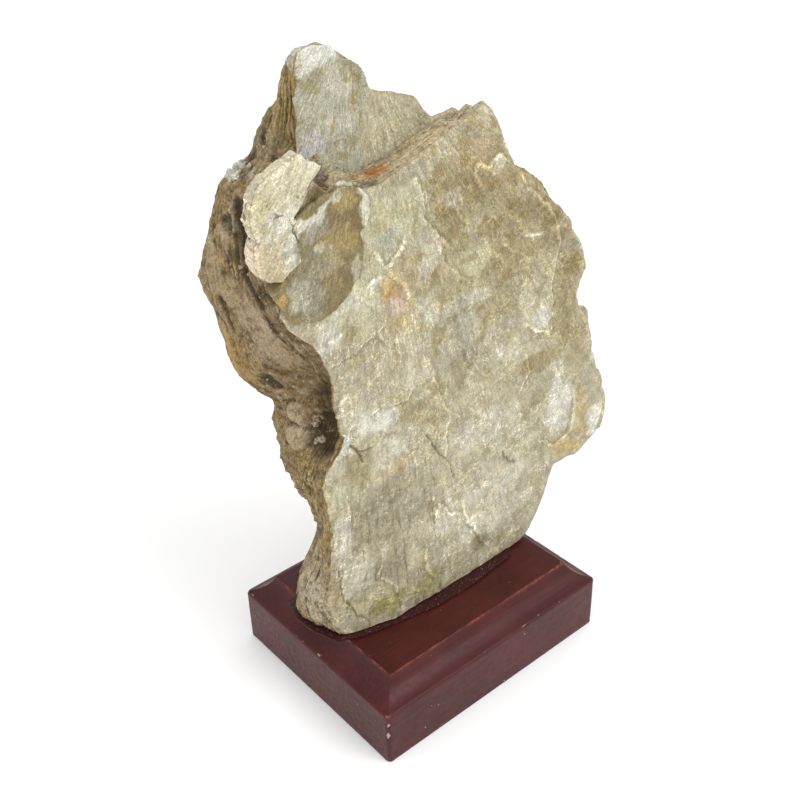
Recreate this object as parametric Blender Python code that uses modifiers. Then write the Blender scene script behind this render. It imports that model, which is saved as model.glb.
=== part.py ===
"""A muscovite mica crystal standing on a small lacquered wooden stand.

Metres, +Z up. The origin is the middle of the stand's underside. +X runs along the stand's long
side and along the crystal's broad cleavage face, which looks towards -Y.
"""

import math

import bmesh
import bpy
import numpy as np
from mathutils import Matrix, Vector

MM = 0.001

# Stand, in millimetres
STAND_LENGTH = 100.0
STAND_WIDTH = 81.7
STAND_SIDE_HEIGHT = 21.5
COVE_RISE = 7.4
COVE_INSET = 8.35
COVE_START_SLOPE = 12.0  # degrees above level, at the outer top edge
COVE_STEPS = 8
STAND_CORNER_RADIUS = 1.4
STAND_CORNER_SEGMENTS = 3

# Glue squeezed out under the crystal, in millimetres
GAP = 0.3  # left between pieces that touch
GLUE_Z = STAND_SIDE_HEIGHT + COVE_RISE + GAP
GLUE_THICKNESS = 0.4
GLUE_OUTLINE = [
    (-46, 18), (-49, 9), (-48.5, 0), (-45.5, -9), (-38, -13), (-30, -15), (-19, -17), (-10, -19),
    (2, -19.4), (11, -19.2), (20, -18), (29, -17.4), (33, -13), (35, -2), (34, 10), (33, 18),
    (20, 19.5), (2, 20.4), (-16, 19.2), (-34, 20),
]

# Crystal, in millimetres
FOOT_Z = GLUE_Z + GLUE_THICKNESS + GAP
CENTRE = (10.0, 110.0)  # x and z that the sheets' outlines are measured around
WIDEST_STEP = math.radians(6.0)  # between two outline points, seen from the centre
SHEET_OVERLAP = 0.25  # how far neighbouring sheets run into each other before they are joined
RAGGED = 0.6  # how far a torn sheet edge wanders, either way
RAGGED_STRETCHES = 24
SEED = 7

# Outlines of single sheets of the crystal as (x, z), clockwise from the foot's left end, at their
# depth y. The sheets between them are worked out from these.
RIGHT_EDGE = [
    (22, 192), (26.5, 183.5), (29.5, 178.5), (33.5, 176.5), (38, 173.5), (41, 170.5), (47, 162.5),
    (51, 159.5), (56, 153.5), (59, 147.5), (63.5, 141), (65.5, 134), (63, 130), (61.5, 126),
    (62, 120), (65, 117), (68, 112), (71, 105), (71.5, 99), (75, 92), (78, 84), (80, 77),
    (81, 69), (77.5, 60.5), (67, 55.5), (62, 56.5), (55, 56), (52.5, 52), (50.5, 47), (48.5, 42),
    (45.5, 37), (43.5, 33), (40, 30.5), (36, 28), (30, 26),
]
KEY_SHEETS = {
    -14.0: [
        (-20, 26), (-34, 40), (-44, 55), (-48.5, 70), (-47, 78), (-48, 84), (-49, 90), (-50, 98),
        (-47, 103), (-42, 107), (-40, 112), (-42, 120), (-43.5, 130), (-44, 137), (-45, 140),
        (-50, 148), (-55, 153), (-59, 160), (-60, 170), (-64, 174), (-66, 180), (-66, 190),
        (-64, 195), (-59, 199), (-52, 200), (-46, 194), (-41, 189), (-36, 192), (-30, 190.5),
        (-24, 191.5), (-17, 193.5), (-10, 195.5), (0, 198), (8, 198.5), (15.5, 201), (19, 198.5),
    ] + RIGHT_EDGE,
    -9.0: [
        (-42, 26), (-46.5, 42), (-48.5, 55), (-48, 70), (-46, 78), (-46.5, 84), (-48, 92),
        (-47, 99), (-42, 104), (-38, 110), (-37, 120), (-37, 130), (-39, 138), (-45, 146),
        (-52, 154), (-55, 162), (-57, 172), (-59, 182), (-58, 190), (-53, 195), (-47, 195),
        (-42, 193), (-36, 192), (-25, 193), (-10, 195), (0, 196.5), (6, 197.5), (11, 195.5),
        (17, 198.5), (23, 196),
    ] + RIGHT_EDGE,
    -5.0: [
        (-44, 26), (-49, 44), (-49.5, 58), (-46.5, 69), (-44, 77), (-45, 84), (-47, 96),
        (-44, 104), (-41, 112), (-41, 130), (-46, 138), (-54, 148), (-58, 158), (-60, 170),
        (-61, 182), (-60, 190), (-55, 195.5), (-48, 197), (-42, 199), (-42.5, 207), (-42, 217),
        (-42.5, 223.5), (-40, 225.5), (-34, 225.3), (-29, 222.3), (-23, 218), (-20, 212.7),
        (-17.5, 209.6), (-7.5, 206.4), (-2, 204.2), (1, 200), (4, 197), (8, 197.4), (12.3, 198.4),
        (16.5, 195.3), (20, 196.7), (24, 197.6), (27.5, 194.5), (31, 188.8), (35, 178), (38, 172),
        (46, 160), (54, 148), (60, 138), (62, 130), (60, 120), (64, 112), (68, 100), (72, 90),
        (75, 80), (76, 72), (72, 62), (62, 55), (54, 48), (48, 38), (42, 26),
    ],
    1.0: [
        (-46, 26), (-48.5, 36), (-48.5, 46), (-45, 58), (-42, 68), (-41, 74), (-44, 82),
        (-46.5, 92), (-48, 102), (-46, 112), (-47, 122), (-51, 129), (-56, 136), (-59, 146),
        (-60.5, 156), (-63, 166), (-64, 176), (-62, 185), (-58, 192), (-52, 195.5), (-47, 200),
        (-45.5, 206), (-43.2, 213), (-40.5, 220), (-37, 221.5), (-31, 219.5), (-26, 215.5), (-20, 210),
        (-16, 206), (-8, 203), (0, 199), (6, 195), (14, 193), (22, 190), (30, 183), (38, 172),
        (46, 160), (53, 148), (58, 138), (61, 130), (59, 120), (62, 111), (66, 100), (70, 90),
        (73, 80), (72, 71), (66, 61), (57, 52), (50, 44), (45, 34), (41, 26),
    ],
    8.0: [
        (-46, 26), (-47, 36), (-45, 45), (-38, 56), (-35, 65), (-37, 71), (-42.5, 80),
        (-46, 89), (-48, 102), (-48, 114), (-49.5, 121), (-55, 126), (-60, 133), (-62, 141),
        (-62.5, 150), (-65, 160), (-66.5, 168), (-64.5, 177), (-61.5, 184), (-58.5, 190), (-53.5, 193),
        (-47.5, 196), (-45.5, 203), (-42, 207), (-38, 206), (-33, 206), (-24, 203), (-15, 199),
        (-6, 196), (3, 192), (12, 188), (20, 183), (28, 176), (36, 168), (44, 158), (50, 149),
        (56, 139), (59, 130), (58, 120), (61, 110), (64, 100), (68, 90), (70, 80), (68, 70),
        (60, 60), (52, 50), (46, 40), (40, 26),
    ],
    16.0: [
        (-42.5, 26), (-41, 37), (-33, 48), (-29.5, 57), (-32, 64), (-36.5, 73), (-40, 82),
        (-44.5, 96), (-45, 110), (-44, 117), (-51, 120), (-56.5, 128), (-58.5, 136),
        (-59, 141.5), (-61.5, 153), (-64, 164), (-61.5, 173), (-57.5, 180), (-55.5, 187), (-50.5, 190),
        (-45, 192), (-38, 190), (-28, 192), (-16, 188), (-4, 184), (8, 178), (18, 172),
        (28, 163), (36, 153), (44, 142), (50, 132), (52, 122), (52, 112), (55, 102), (58, 92),
        (60, 82), (56, 72), (50, 62), (44, 52), (38, 42), (34, 26),
    ],
}
SHEET_DEPTHS = [
    -14.0, -12.0, -10.0, -7.8, -5.6, -3.2, -0.8, 1.6, 4.0, 6.4, 8.8, 11.2, 13.6, 16.2
]
CREASE_DEPTH = -5.6  # sheets in front of it stop at the crease below the peak
CREASE_OUTLINE_DEPTH = -9.0  # the last key sheet that stops there

# Plates that stand proud of the broad faces, or lie behind their edge: name, front y, back y,
# outline
PLATES = [
    ("cream_block", -18.4, -12.1, [
        (-62.5, 172), (-65.5, 178), (-66.5, 189), (-64, 196), (-58.5, 200), (-50.5, 202),
        (-45, 199), (-43.5, 194), (-47, 188), (-50, 182), (-52, 174), (-57, 170),
    ]),
    ("olive_plate", -16.8, -12.4, [
        (-57, 169), (-58, 160), (-51, 153.5), (-42, 150.5), (-34, 157), (-28, 164), (-27.5, 176),
        (-25, 183), (-29, 190), (-37, 194), (-43, 190.5), (-50.3, 184.8), (-51.8, 177),
    ]),
    ("left_field", -14.9, -12.9, [
        (-40, 80), (-47, 80), (-48.5, 98), (-41, 106), (-39, 112), (-42, 128), (-43, 138),
        (-51, 150), (-56, 159), (-52, 172), (-42, 184), (-30, 188.5), (-11, 193.5), (-8, 180),
        (-9, 165), (-6, 150), (-12, 140), (-6, 122), (-14, 118), (-20, 112), (-34, 104),
        (-38, 92),
    ]),
    ("streaked_strip", -15.5, -13.1, [
        (-46, 138), (-50, 147), (-40, 150), (-30, 158), (-26, 168), (-12, 171), (-13, 152),
        (-24, 144), (-34, 140),
    ]),
    ("lower_field", -16.2, -13.2, [
        (-12, 26), (-24, 40), (-33, 56), (-36, 76), (-30, 100), (-12, 110), (4, 106), (20, 95),
        (36, 89), (45, 79), (47, 66), (43, 50), (37, 33), (27, 26),
    ]),
    ("lower_left_field", -15.0, -12.7, [
        (-28, 26), (-38, 42), (-44, 58), (-45, 76), (-30, 84), (-22, 60), (-10, 26),
    ]),
    ("upper_right_sheet", -14.6, -12.6, [
        (-3, 148), (1, 168), (8, 184), (19, 188), (29, 171), (40, 159), (47, 146), (53, 134),
        (43, 125), (30, 130), (18, 138), (6, 140),
    ]),
    ("pale_patch", -14.7, -12.2, [
        (47, 72), (49, 86), (55, 93), (62, 91), (64, 78), (62, 67), (53, 66),
    ]),
    ("tip_sheet", -12.9, -9.6, [
        (58, 60), (60, 90), (70, 99), (77, 89), (81, 79), (83.5, 71), (83, 65.5), (81.5, 60.5),
        (76, 59.5), (67, 55),
    ]),
    ("notch_sheet", -11.7, -10.3, [
        (56, 104), (54, 127), (62, 125), (65.5, 118), (71.5, 110), (72, 103), (66, 98),
    ]),
    ("back_plate", 14.6, 18.4, [
        (-29, 62), (-36, 92), (-40, 114), (-52, 134), (-56, 160), (-46, 182), (-22, 184),
        (2, 174), (20, 158), (34, 138), (42, 118), (46, 94), (36, 70), (20, 48), (-4, 38),
        (-24, 42),
    ]),
    ("back_ridge", 15.1, 20.0, [
        (-34, 100), (-36, 132), (-46, 150), (-38, 172), (-14, 172), (4, 158), (12, 134),
        (6, 104), (-8, 84), (-24, 84),
    ]),
    ("back_foot_sheet", 15.3, 17.3, [
        (-34, 26), (-33, 44), (-20, 56), (2, 52), (24, 44), (30, 26),
    ]),
]

# Hollows broken into the left edge: centre (x, y, z), radii (x, y, z)
HOLLOWS = [
    ((-43.5, -8.2, 122.0), (5.0, 3.0, 10.0)),
    ((-47.5, -2.0, 112.0), (3.5, 3.0, 5.0)),
    ((-61.5, -8.5, 169.0), (4.5, 2.2, 12.0)),
    ((-43.0, -9.5, 194.5), (5.0, 3.0, 4.0)),
    ((-50.0, -5.0, 52.0), (2.5, 1.6, 9.0)),
]

MICA_COLOUR = (0.50, 0.46, 0.35, 1.0)
LACQUER_COLOUR = (0.075, 0.018, 0.018, 1.0)
GLUE_COLOUR = (0.030, 0.014, 0.014, 1.0)


def clear_scene():
    for thing in list(bpy.data.objects):
        bpy.data.objects.remove(thing, do_unlink=True)


def new_collection(name):
    collection = bpy.data.collections.new(name)
    bpy.context.scene.collection.children.link(collection)
    return collection


def make_material(name, colour, roughness, coat=0.0):
    material = bpy.data.materials.new(name)
    material.use_nodes = True
    shader = material.node_tree.nodes["Principled BSDF"]
    shader.inputs["Base Color"].default_value = colour
    shader.inputs["Roughness"].default_value = roughness
    shader.inputs["Metallic"].default_value = 0.0
    shader.inputs["Coat Weight"].default_value = coat
    return material


def object_from_bmesh(name, bm, collection):
    mesh = bpy.data.meshes.new(name)
    bm.to_mesh(mesh)
    bm.free()
    thing = bpy.data.objects.new(name, mesh)
    collection.objects.link(thing)
    return thing


# ---- Stand ----


def cove_profile():
    """Steps inwards and upwards along the cove, an arc that steepens from its outer edge."""
    chord_slope = math.atan2(COVE_RISE, COVE_INSET)
    first = math.radians(COVE_START_SLOPE)
    last = 2 * chord_slope - first
    radius = COVE_INSET / (math.sin(last) - math.sin(first))
    slopes = np.linspace(first, last, COVE_STEPS + 1)
    inwards = np.diff(radius * np.sin(slopes))
    upwards = np.diff(-radius * np.cos(slopes))
    return list(zip(inwards, upwards))


def make_stand(collection, material):
    """A block whose top edge is cut to a cove, by insetting and raising the top face in steps."""
    bm = bmesh.new()
    size = Vector((STAND_LENGTH, STAND_WIDTH, STAND_SIDE_HEIGHT)) * MM
    lift = Matrix.Translation((0, 0, size.z / 2))
    bmesh.ops.create_cube(bm, size=1.0, matrix=lift @ Matrix.Diagonal((*size, 1.0)))
    top = max(bm.faces, key=lambda face: face.calc_center_median().z)
    for inwards, upwards in cove_profile():
        bmesh.ops.inset_region(
            bm,
            faces=[top],
            thickness=inwards * MM,
            depth=upwards * MM,
            use_even_offset=True,
        )
    weight = bm.edges.layers.float.new("bevel_weight_edge")
    for edge in bm.edges:
        start, end = (corner.co for corner in edge.verts)
        edge[weight] = float(abs(start.z - end.z) > size.z / 2)
    stand = object_from_bmesh("wooden_base", bm, collection)
    stand.data.materials.append(material)
    rounding = stand.modifiers.new("Rounded corners", "BEVEL")
    rounding.limit_method = "WEIGHT"
    rounding.width = STAND_CORNER_RADIUS * MM
    rounding.segments = STAND_CORNER_SEGMENTS
    return stand


# ---- Crystal ----


def polar(points):
    """The points as angle and distance from the centre, in order of angle."""
    away = np.array(points) - np.array(CENTRE)
    angle = np.arctan2(away[:, 1], away[:, 0])
    order = np.argsort(angle)
    return angle[order], np.hypot(away[:, 0], away[:, 1])[order]


def outline_angles(depth):
    """The angles of the nearest key sheet's own points, with more put in where they lie far apart."""
    nearest = min(KEY_SHEETS, key=lambda key: abs(key - depth))
    angle, _ = polar(KEY_SHEETS[nearest])
    following = np.append(angle[1:], angle[0] + 2 * math.pi)
    found = []
    for start, end in zip(angle, following):
        parts = max(1, math.ceil((end - start) / WIDEST_STEP))
        found.extend(start + (end - start) * part / parts for part in range(parts))
    return np.array(found)


def sheet_outline(depth, rng):
    """Outline of the sheet at a depth: between its two key sheets, with a ragged edge of its own."""
    keys = sorted(KEY_SHEETS)
    angles = outline_angles(depth)
    radii = []
    for key in keys:
        angle, radius = polar(KEY_SHEETS[key])
        radii.append(np.interp(angles, angle, radius, period=2 * math.pi))
    radii = np.array(radii)
    column = np.arange(len(angles))
    place = np.interp(depth, keys, np.arange(len(keys)))
    below = int(min(place, len(keys) - 2))
    share = place - below
    radius = radii[below, column] * (1 - share) + radii[below + 1, column] * share
    if depth > keys[0]:
        stretches = np.linspace(0, 2 * math.pi, RAGGED_STRETCHES, endpoint=False)
        torn = RAGGED * rng.uniform(-1.0, 1.0, RAGGED_STRETCHES)
        radius = radius - np.interp(angles, stretches, torn, period=2 * math.pi)
    x = CENTRE[0] + radius * np.cos(angles)
    z = CENTRE[1] + radius * np.sin(angles)
    return list(zip(x, z))


def extruded(name, points, thickness, placing, collection):
    """A flat outline as a filled curve of some thickness, placed and then made a mesh."""
    curve = bpy.data.curves.new(name, "CURVE")
    curve.dimensions = "2D"
    curve.fill_mode = "BOTH"
    curve.extrude = thickness / 2 * MM
    spline = curve.splines.new("POLY")
    spline.points.add(len(points) - 1)
    for point, (across, along) in zip(spline.points, points):
        point.co = (across * MM, along * MM, 0.0, 1.0)
    spline.use_cyclic_u = True
    guide = bpy.data.objects.new(name, curve)
    guide.matrix_world = placing
    collection.objects.link(guide)
    bpy.context.view_layer.update()
    return mesh_from_curve(guide, collection)


def standing_sheet(name, points, front, back, collection):
    """A sheet of the crystal, upright in the x-z plane and cut off at the foot."""
    cut = [(x, max(z, FOOT_Z)) for x, z in points]
    middle = Matrix.Translation((0, (front + back) / 2 * MM, 0))
    upright = Matrix.Rotation(math.pi / 2, 4, "X")
    return extruded(name, cut, back - front, middle @ upright, collection)


def mesh_from_curve(guide, collection):
    graph = bpy.context.evaluated_depsgraph_get()
    mesh = bpy.data.meshes.new_from_object(guide.evaluated_get(graph))
    bm = bmesh.new()
    bm.from_mesh(mesh)
    bmesh.ops.transform(bm, matrix=guide.matrix_world, verts=bm.verts)
    bmesh.ops.remove_doubles(bm, verts=bm.verts, dist=1e-6)
    bmesh.ops.recalc_face_normals(bm, faces=bm.faces)
    name = guide.name
    bpy.data.objects.remove(guide, do_unlink=True)
    bpy.data.meshes.remove(mesh)
    return object_from_bmesh(name, bm, collection)


def make_helper(thing):
    thing.hide_render = True
    thing.display_type = "WIRE"


def join_with(thing, helpers):
    modifier = thing.modifiers.new("Join sheets", "BOOLEAN")
    modifier.operation = "UNION"
    modifier.operand_type = "COLLECTION"
    modifier.collection = helpers
    modifier.solver = "MANIFOLD"


def cut_with(thing, cutter):
    modifier = thing.modifiers.new(cutter.name, "BOOLEAN")
    modifier.operation = "DIFFERENCE"
    modifier.object = cutter
    modifier.solver = "MANIFOLD"


def make_sheets(collection):
    """The stack of sheets that the crystal is made of, front to back."""
    rng = np.random.default_rng(SEED)
    sheets = []
    for number, (front, back) in enumerate(zip(SHEET_DEPTHS[:-1], SHEET_DEPTHS[1:])):
        middle = front if number == 0 else (front + back) / 2
        if back <= CREASE_DEPTH:
            middle = min(middle, CREASE_OUTLINE_DEPTH)
        points = sheet_outline(middle, rng)
        name = f"sheet_{number:02d}"
        sheets.append(standing_sheet(name, points, front, back + SHEET_OVERLAP, collection))
    return sheets


def make_hollow(number, centre, radii, collection):
    bm = bmesh.new()
    place = Matrix.Translation(Vector(centre) * MM)
    stretch = Matrix.Diagonal((*(Vector(radii) * MM), 1.0))
    bmesh.ops.create_icosphere(bm, subdivisions=1, radius=1.0, matrix=place @ stretch)
    return object_from_bmesh(f"hollow_{number}", bm, collection)


def make_crystal(collection, material):
    """The stack of sheets and plates joined in one solid, hollowed at its edge and cut flat below."""
    additions = new_collection("crystal_additions")
    cutters = new_collection("crystal_cutters")
    sheets = make_sheets(additions)
    for name, front, back, points in PLATES:
        standing_sheet(name, points, front, back, additions)
    for number, (centre, radii) in enumerate(HOLLOWS):
        make_hollow(number, centre, radii, cutters)
    for helper in [*additions.objects, *cutters.objects]:
        make_helper(helper)
    crystal = sheets[len(sheets) // 2]
    additions.objects.unlink(crystal)
    collection.objects.link(crystal)
    crystal.name = "mica_crystal"
    crystal.hide_render = False
    crystal.display_type = "TEXTURED"
    crystal.data.materials.append(material)
    join_with(crystal, additions)
    for cutter in cutters.objects:
        cut_with(crystal, cutter)
    return crystal


# ---- Glue ----


def make_glue(collection, material):
    """The flat puddle of glue between the stand and the crystal."""
    middle = Matrix.Translation((0, 0, (GLUE_Z + GLUE_THICKNESS / 2) * MM))
    glue = extruded("adhesive", GLUE_OUTLINE, GLUE_THICKNESS, middle, collection)
    glue.data.materials.append(material)
    return glue


def main():
    clear_scene()
    specimen = new_collection("mica_specimen")
    lacquer = make_material("lacquered_wood", LACQUER_COLOUR, 0.35, coat=0.6)
    mica = make_material("muscovite_mica", MICA_COLOUR, 0.38, coat=0.2)
    glue = make_material("dark_glue", GLUE_COLOUR, 0.3, coat=0.3)
    make_stand(specimen, lacquer)
    make_crystal(specimen, mica)
    make_glue(specimen, glue)


main()
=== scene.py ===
"""Finishes a muscovite mica crystal on its lacquered stand: sheets, torn edges, glue, wood, light.

Everything is in metres in the scene, and in millimetres in the tables and formulas below. The
crystal's broad cleavage face looks towards -Y, its torn book edge towards -X.
"""

import math

import bmesh
import bpy
import numpy as np
from bpy.props import FloatProperty, FloatVectorProperty, IntProperty, PointerProperty
from mathutils import Matrix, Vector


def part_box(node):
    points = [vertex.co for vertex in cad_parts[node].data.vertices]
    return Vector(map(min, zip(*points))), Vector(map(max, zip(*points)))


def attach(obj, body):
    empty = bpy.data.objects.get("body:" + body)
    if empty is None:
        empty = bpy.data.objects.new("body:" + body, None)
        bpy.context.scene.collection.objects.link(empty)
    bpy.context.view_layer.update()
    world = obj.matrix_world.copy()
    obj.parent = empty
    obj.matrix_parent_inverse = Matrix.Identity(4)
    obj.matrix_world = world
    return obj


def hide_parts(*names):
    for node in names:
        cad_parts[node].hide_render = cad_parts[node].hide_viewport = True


bl_info = {
    "name": "Mica specimen on a stand",
    "version": (1, 0, 0),
    "blender": (4, 5, 0),
    "location": "3D View > Sidebar > Mica",
    "description": "Builds a muscovite crystal of torn cleavage sheets, its glue and its stand",
    "category": "Add Mesh",
}

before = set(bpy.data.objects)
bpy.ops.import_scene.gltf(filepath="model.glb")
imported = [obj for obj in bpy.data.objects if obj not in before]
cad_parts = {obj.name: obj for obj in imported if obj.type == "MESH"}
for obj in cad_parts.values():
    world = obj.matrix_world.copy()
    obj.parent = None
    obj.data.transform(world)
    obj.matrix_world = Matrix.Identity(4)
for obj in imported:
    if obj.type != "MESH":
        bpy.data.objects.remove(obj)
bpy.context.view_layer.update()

MM = 0.001
STAND_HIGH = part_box("wooden_base")[1]
CRYSTAL_LOW, CRYSTAL_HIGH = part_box("mica_crystal")
PLATEAU_Z = STAND_HIGH.z / MM
FOOT_CLEARANCE = 0.15  # between the crystal's foot and the stand's top
FOOT_Z = PLATEAU_Z + FOOT_CLEARANCE
BOX_INSET = 0.02  # how far the crystal's pieces keep inside its box, except at the foot
CRYSTAL_BOX = np.array([CRYSTAL_LOW, CRYSTAL_HIGH]) / MM + [
    [BOX_INSET, BOX_INSET, 0.0], [-BOX_INSET] * 3
]

# ---- Outlines of the crystal's sheets, in millimetres ----

CENTRE = np.array([10.0, 110.0])  # x and z that the outlines are measured around
RIGHT_EDGE = [
    (22, 192), (26.5, 183.5), (29.5, 178.5), (33.5, 176.5), (38, 173.5), (41, 170.5), (47, 162.5),
    (51, 159.5), (56, 153.5), (59, 147.5), (63.5, 141), (65.5, 134), (63, 130), (61.5, 126), (62, 120),
    (65, 117), (68, 112), (71, 105), (71.5, 99), (75, 92), (78, 84), (80, 77), (81, 69), (77.5, 60.5),
    (67, 55.5), (62, 56.5), (55, 56), (52.5, 52), (50.5, 47), (48.5, 42), (45.5, 37), (43.5, 33),
    (40, 30.5), (36, 28), (30, 26),
]
SHEETS = {
    -14: [
        (-40, 26), (-46, 42), (-48, 55), (-48.5, 70), (-47, 78), (-48, 84), (-49, 90), (-50, 98),
        (-47, 103), (-42, 107), (-40, 112), (-42, 120), (-43.5, 130), (-44, 137), (-45, 140), (-50, 148),
        (-55, 153), (-59, 160), (-60, 170), (-64, 174), (-66, 180), (-66, 190), (-64, 195), (-59, 199),
        (-52, 200), (-46, 195), (-41, 190.5), (-36, 188.5), (-30, 186.8), (-24, 187), (-17, 188.2),
        (-10, 190.6), (0, 194.6), (8, 197), (15.5, 201), (19, 198.5),
    ] + RIGHT_EDGE,
    -9: [
        (-42, 26), (-47.5, 42), (-49, 55), (-48, 70), (-46, 78), (-46.5, 84), (-48, 92), (-47, 99),
        (-42, 104), (-38, 110), (-37, 120), (-37, 130), (-39, 138), (-45, 146), (-52, 154), (-55, 162),
        (-57, 172), (-59, 182), (-58, 190), (-53, 195), (-47, 195), (-42, 193), (-36, 189.8), (-25, 189),
        (-17, 189.8), (-10, 191.6), (0, 194.6), (6, 196.4), (11, 195.5), (17, 198.5), (23, 196),
    ] + RIGHT_EDGE,
    -5: [
        (-44, 26), (-49, 44), (-49.5, 58), (-46.5, 69), (-44, 77), (-45, 84), (-47, 96), (-44, 104),
        (-41, 112), (-41, 130), (-46, 138), (-54, 148), (-58, 158), (-60, 170), (-61, 182), (-60, 190),
        (-55, 195.5), (-48, 197), (-42, 199), (-42.5, 207), (-42, 217), (-42.5, 223.5), (-40, 225.2),
        (-34, 225), (-29, 222.3), (-23, 218), (-20, 212.7), (-17.5, 209.6), (-7.5, 206.4), (-2, 204.2),
        (1, 200), (4, 197), (8, 197.4), (12.3, 198.4), (16.5, 195.3), (20, 196.7), (24, 197.6),
        (27.5, 194.5), (31, 188.8), (35, 178), (38, 172), (46, 160), (54, 148), (60, 138), (62, 130),
        (60, 120), (64, 112), (68, 100), (72, 90), (75, 80), (76, 72), (72, 62), (62, 55), (54, 48),
        (48, 38), (42, 26),
    ],
    1: [
        (-46.5, 26), (-47.8, 36), (-47.8, 46), (-45, 58), (-42, 68), (-41, 74), (-44, 82), (-46.5, 92),
        (-48, 102), (-46, 112), (-47, 122), (-51, 129), (-56, 136), (-59, 146), (-60.5, 156), (-63, 166),
        (-64, 176), (-62, 185), (-58, 192), (-52, 195.5), (-47, 200), (-45.5, 206), (-43.2, 213),
        (-40.5, 220), (-37, 221.5), (-31, 219.5), (-26, 215.5), (-20, 210), (-16, 206), (-8, 203), (0, 199),
        (6, 195), (14, 193), (22, 190), (30, 183), (38, 172), (46, 160), (53, 148), (58, 138), (61, 130),
        (59, 120), (62, 111), (66, 100), (70, 90), (73, 80), (72, 71), (66, 61), (57, 52), (50, 44),
        (45, 34), (41, 26),
    ],
    8: [
        (-46, 26), (-45.2, 34), (-43.2, 44), (-37.5, 56), (-35, 65), (-37, 71), (-42.5, 80), (-46, 89),
        (-48, 102), (-48, 114), (-49.5, 121), (-55, 126), (-60, 133), (-62, 141), (-62.5, 150), (-65, 160),
        (-66, 168), (-64.5, 177), (-61.5, 184), (-58.5, 190), (-53.5, 193), (-47.5, 196), (-45.5, 203),
        (-42, 207), (-38, 206), (-33, 206), (-24, 203), (-15, 199), (-6, 196), (3, 192), (12, 188),
        (20, 183), (28, 176), (36, 168), (44, 158), (50, 149), (56, 139), (59, 130), (58, 120), (61, 110),
        (64, 100), (68, 90), (70, 80), (68, 70), (60, 60), (52, 50), (46, 40), (40, 26),
    ],
    16: [
        (-41.5, 26), (-39.5, 36), (-32, 48), (-29.5, 57), (-32, 64), (-36.5, 73), (-40, 82), (-44.5, 96),
        (-45, 110), (-44, 117), (-51, 120), (-56.5, 128), (-58.5, 136), (-59, 141.5), (-61.5, 153),
        (-64, 164), (-61.5, 173), (-57.5, 180), (-55.5, 187), (-50.5, 190), (-45, 192), (-38, 190),
        (-28, 192), (-16, 188), (-4, 184), (8, 178), (18, 172), (28, 163), (36, 153), (44, 142), (50, 132),
        (52, 122), (52, 112), (55, 102), (58, 92), (60, 82), (56, 72), (50, 62), (44, 52), (38, 42),
        (34, 26),
    ],
}

# Books with a finished broad face: name, first depth, last depth, squares across, which face
FACED_BOOKS = [
    ("front_sheets", -14, -10.4, 270, "front"), ("back_book", 4.9, 16, 180, "back"),
]
# Books between them: name, first depth, last depth, points round
INNER_BOOKS = [
    ("torn_book", -10.6, -5.5, 1000), ("middle_book", -5.3, 5.2, 860),
]
CREASE_DEPTH = -5.4  # along the crest, books in front of it stop at the crease below the peak
CREST_SHEET, PEAK_SHEET = -9.0, -5.0  # the key sheets that keep the crest's and the peak's outline
CREST = (62.0, 122.0, 8.0)  # first and last angle of the crest about the centre, and fading, degrees

# Plates of their own: name, front depth, back depth, lean (mm per mm across), squares across,
# rounding of the rim, relief, outline
LOOSE_PLATES = [
    ("cream_block", -17.6, -12, 0.03, 110, 1.5, 0.5, [
        (-57.3, 200.7), (-54.4, 201.9), (-52.2, 202.3), (-49.5, 203.2), (-48, 200.8), (-45, 199.5),
        (-43.2, 198), (-44.9, 196.5), (-47.1, 195.1), (-48.8, 192.6), (-50.8, 189.7), (-53.3, 187.4),
        (-54.2, 184.2), (-52.2, 181), (-51.3, 177.2), (-52.2, 174.3), (-56.1, 172.5), (-58.5, 170.8),
        (-62.6, 171.9), (-65.1, 174.2), (-66.3, 177.7), (-65.9, 182.7), (-64.8, 183.9), (-66, 187.7),
        (-65.9, 191), (-65, 193.7), (-63.7, 197.2), (-60.8, 199.4),
    ]),
    ("olive_plate", -16.1, -12.6, 0.07, 130, 0.7, 0.9, [
        (-50.8, 187.4), (-45.9, 189), (-39.9, 190.3), (-38.6, 191), (-32.6, 189.3), (-29, 187.3),
        (-26.6, 184.5), (-26.5, 180.3), (-28.3, 177.1), (-30.9, 175.7), (-29.8, 172.1), (-30.8, 167.5),
        (-32.3, 163), (-35.8, 159.6), (-41.2, 156.4), (-46.4, 154.9), (-51.2, 156.1), (-56, 157.3),
        (-58.1, 160.3), (-60, 164.8), (-61.9, 168.7), (-63.8, 172.5), (-58.2, 171.2),
    ]),
    ("peak_plate", -6.3, -4.9, 0, 140, 0.3, 0.6, [
        (-42.3, 196), (-42.3, 207), (-41.8, 217), (-41.9, 220.7), (-41.3, 223.4), (-38.9, 224.7),
        (-34.4, 224.7), (-30.9, 223.9), (-29.3, 222), (-27.7, 220), (-24.1, 218.8), (-21.8, 217),
        (-20.1, 214.5), (-19, 211.3), (-19.8, 208), (-21.5, 204.1), (-23.5, 199.6), (-22, 192), (-21, 180),
        (-37, 180),
    ]),
    ("tip_sheet", -12.9, -9.6, 0, 70, 0.3, 0.5, [
        (58, 60), (60, 90), (70, 98), (76.5, 89), (80.5, 79), (83, 71), (82.6, 65.5), (81, 61), (76, 60),
        (67, 55.5),
    ]),
    ("notch_sheet", -11.7, -10.3, 0, 50, 0.2, 0.3, [
        (56, 104), (54, 126), (62, 124.6), (65.3, 118), (71, 110), (71.4, 103), (66, 98),
    ]),
]
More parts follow.
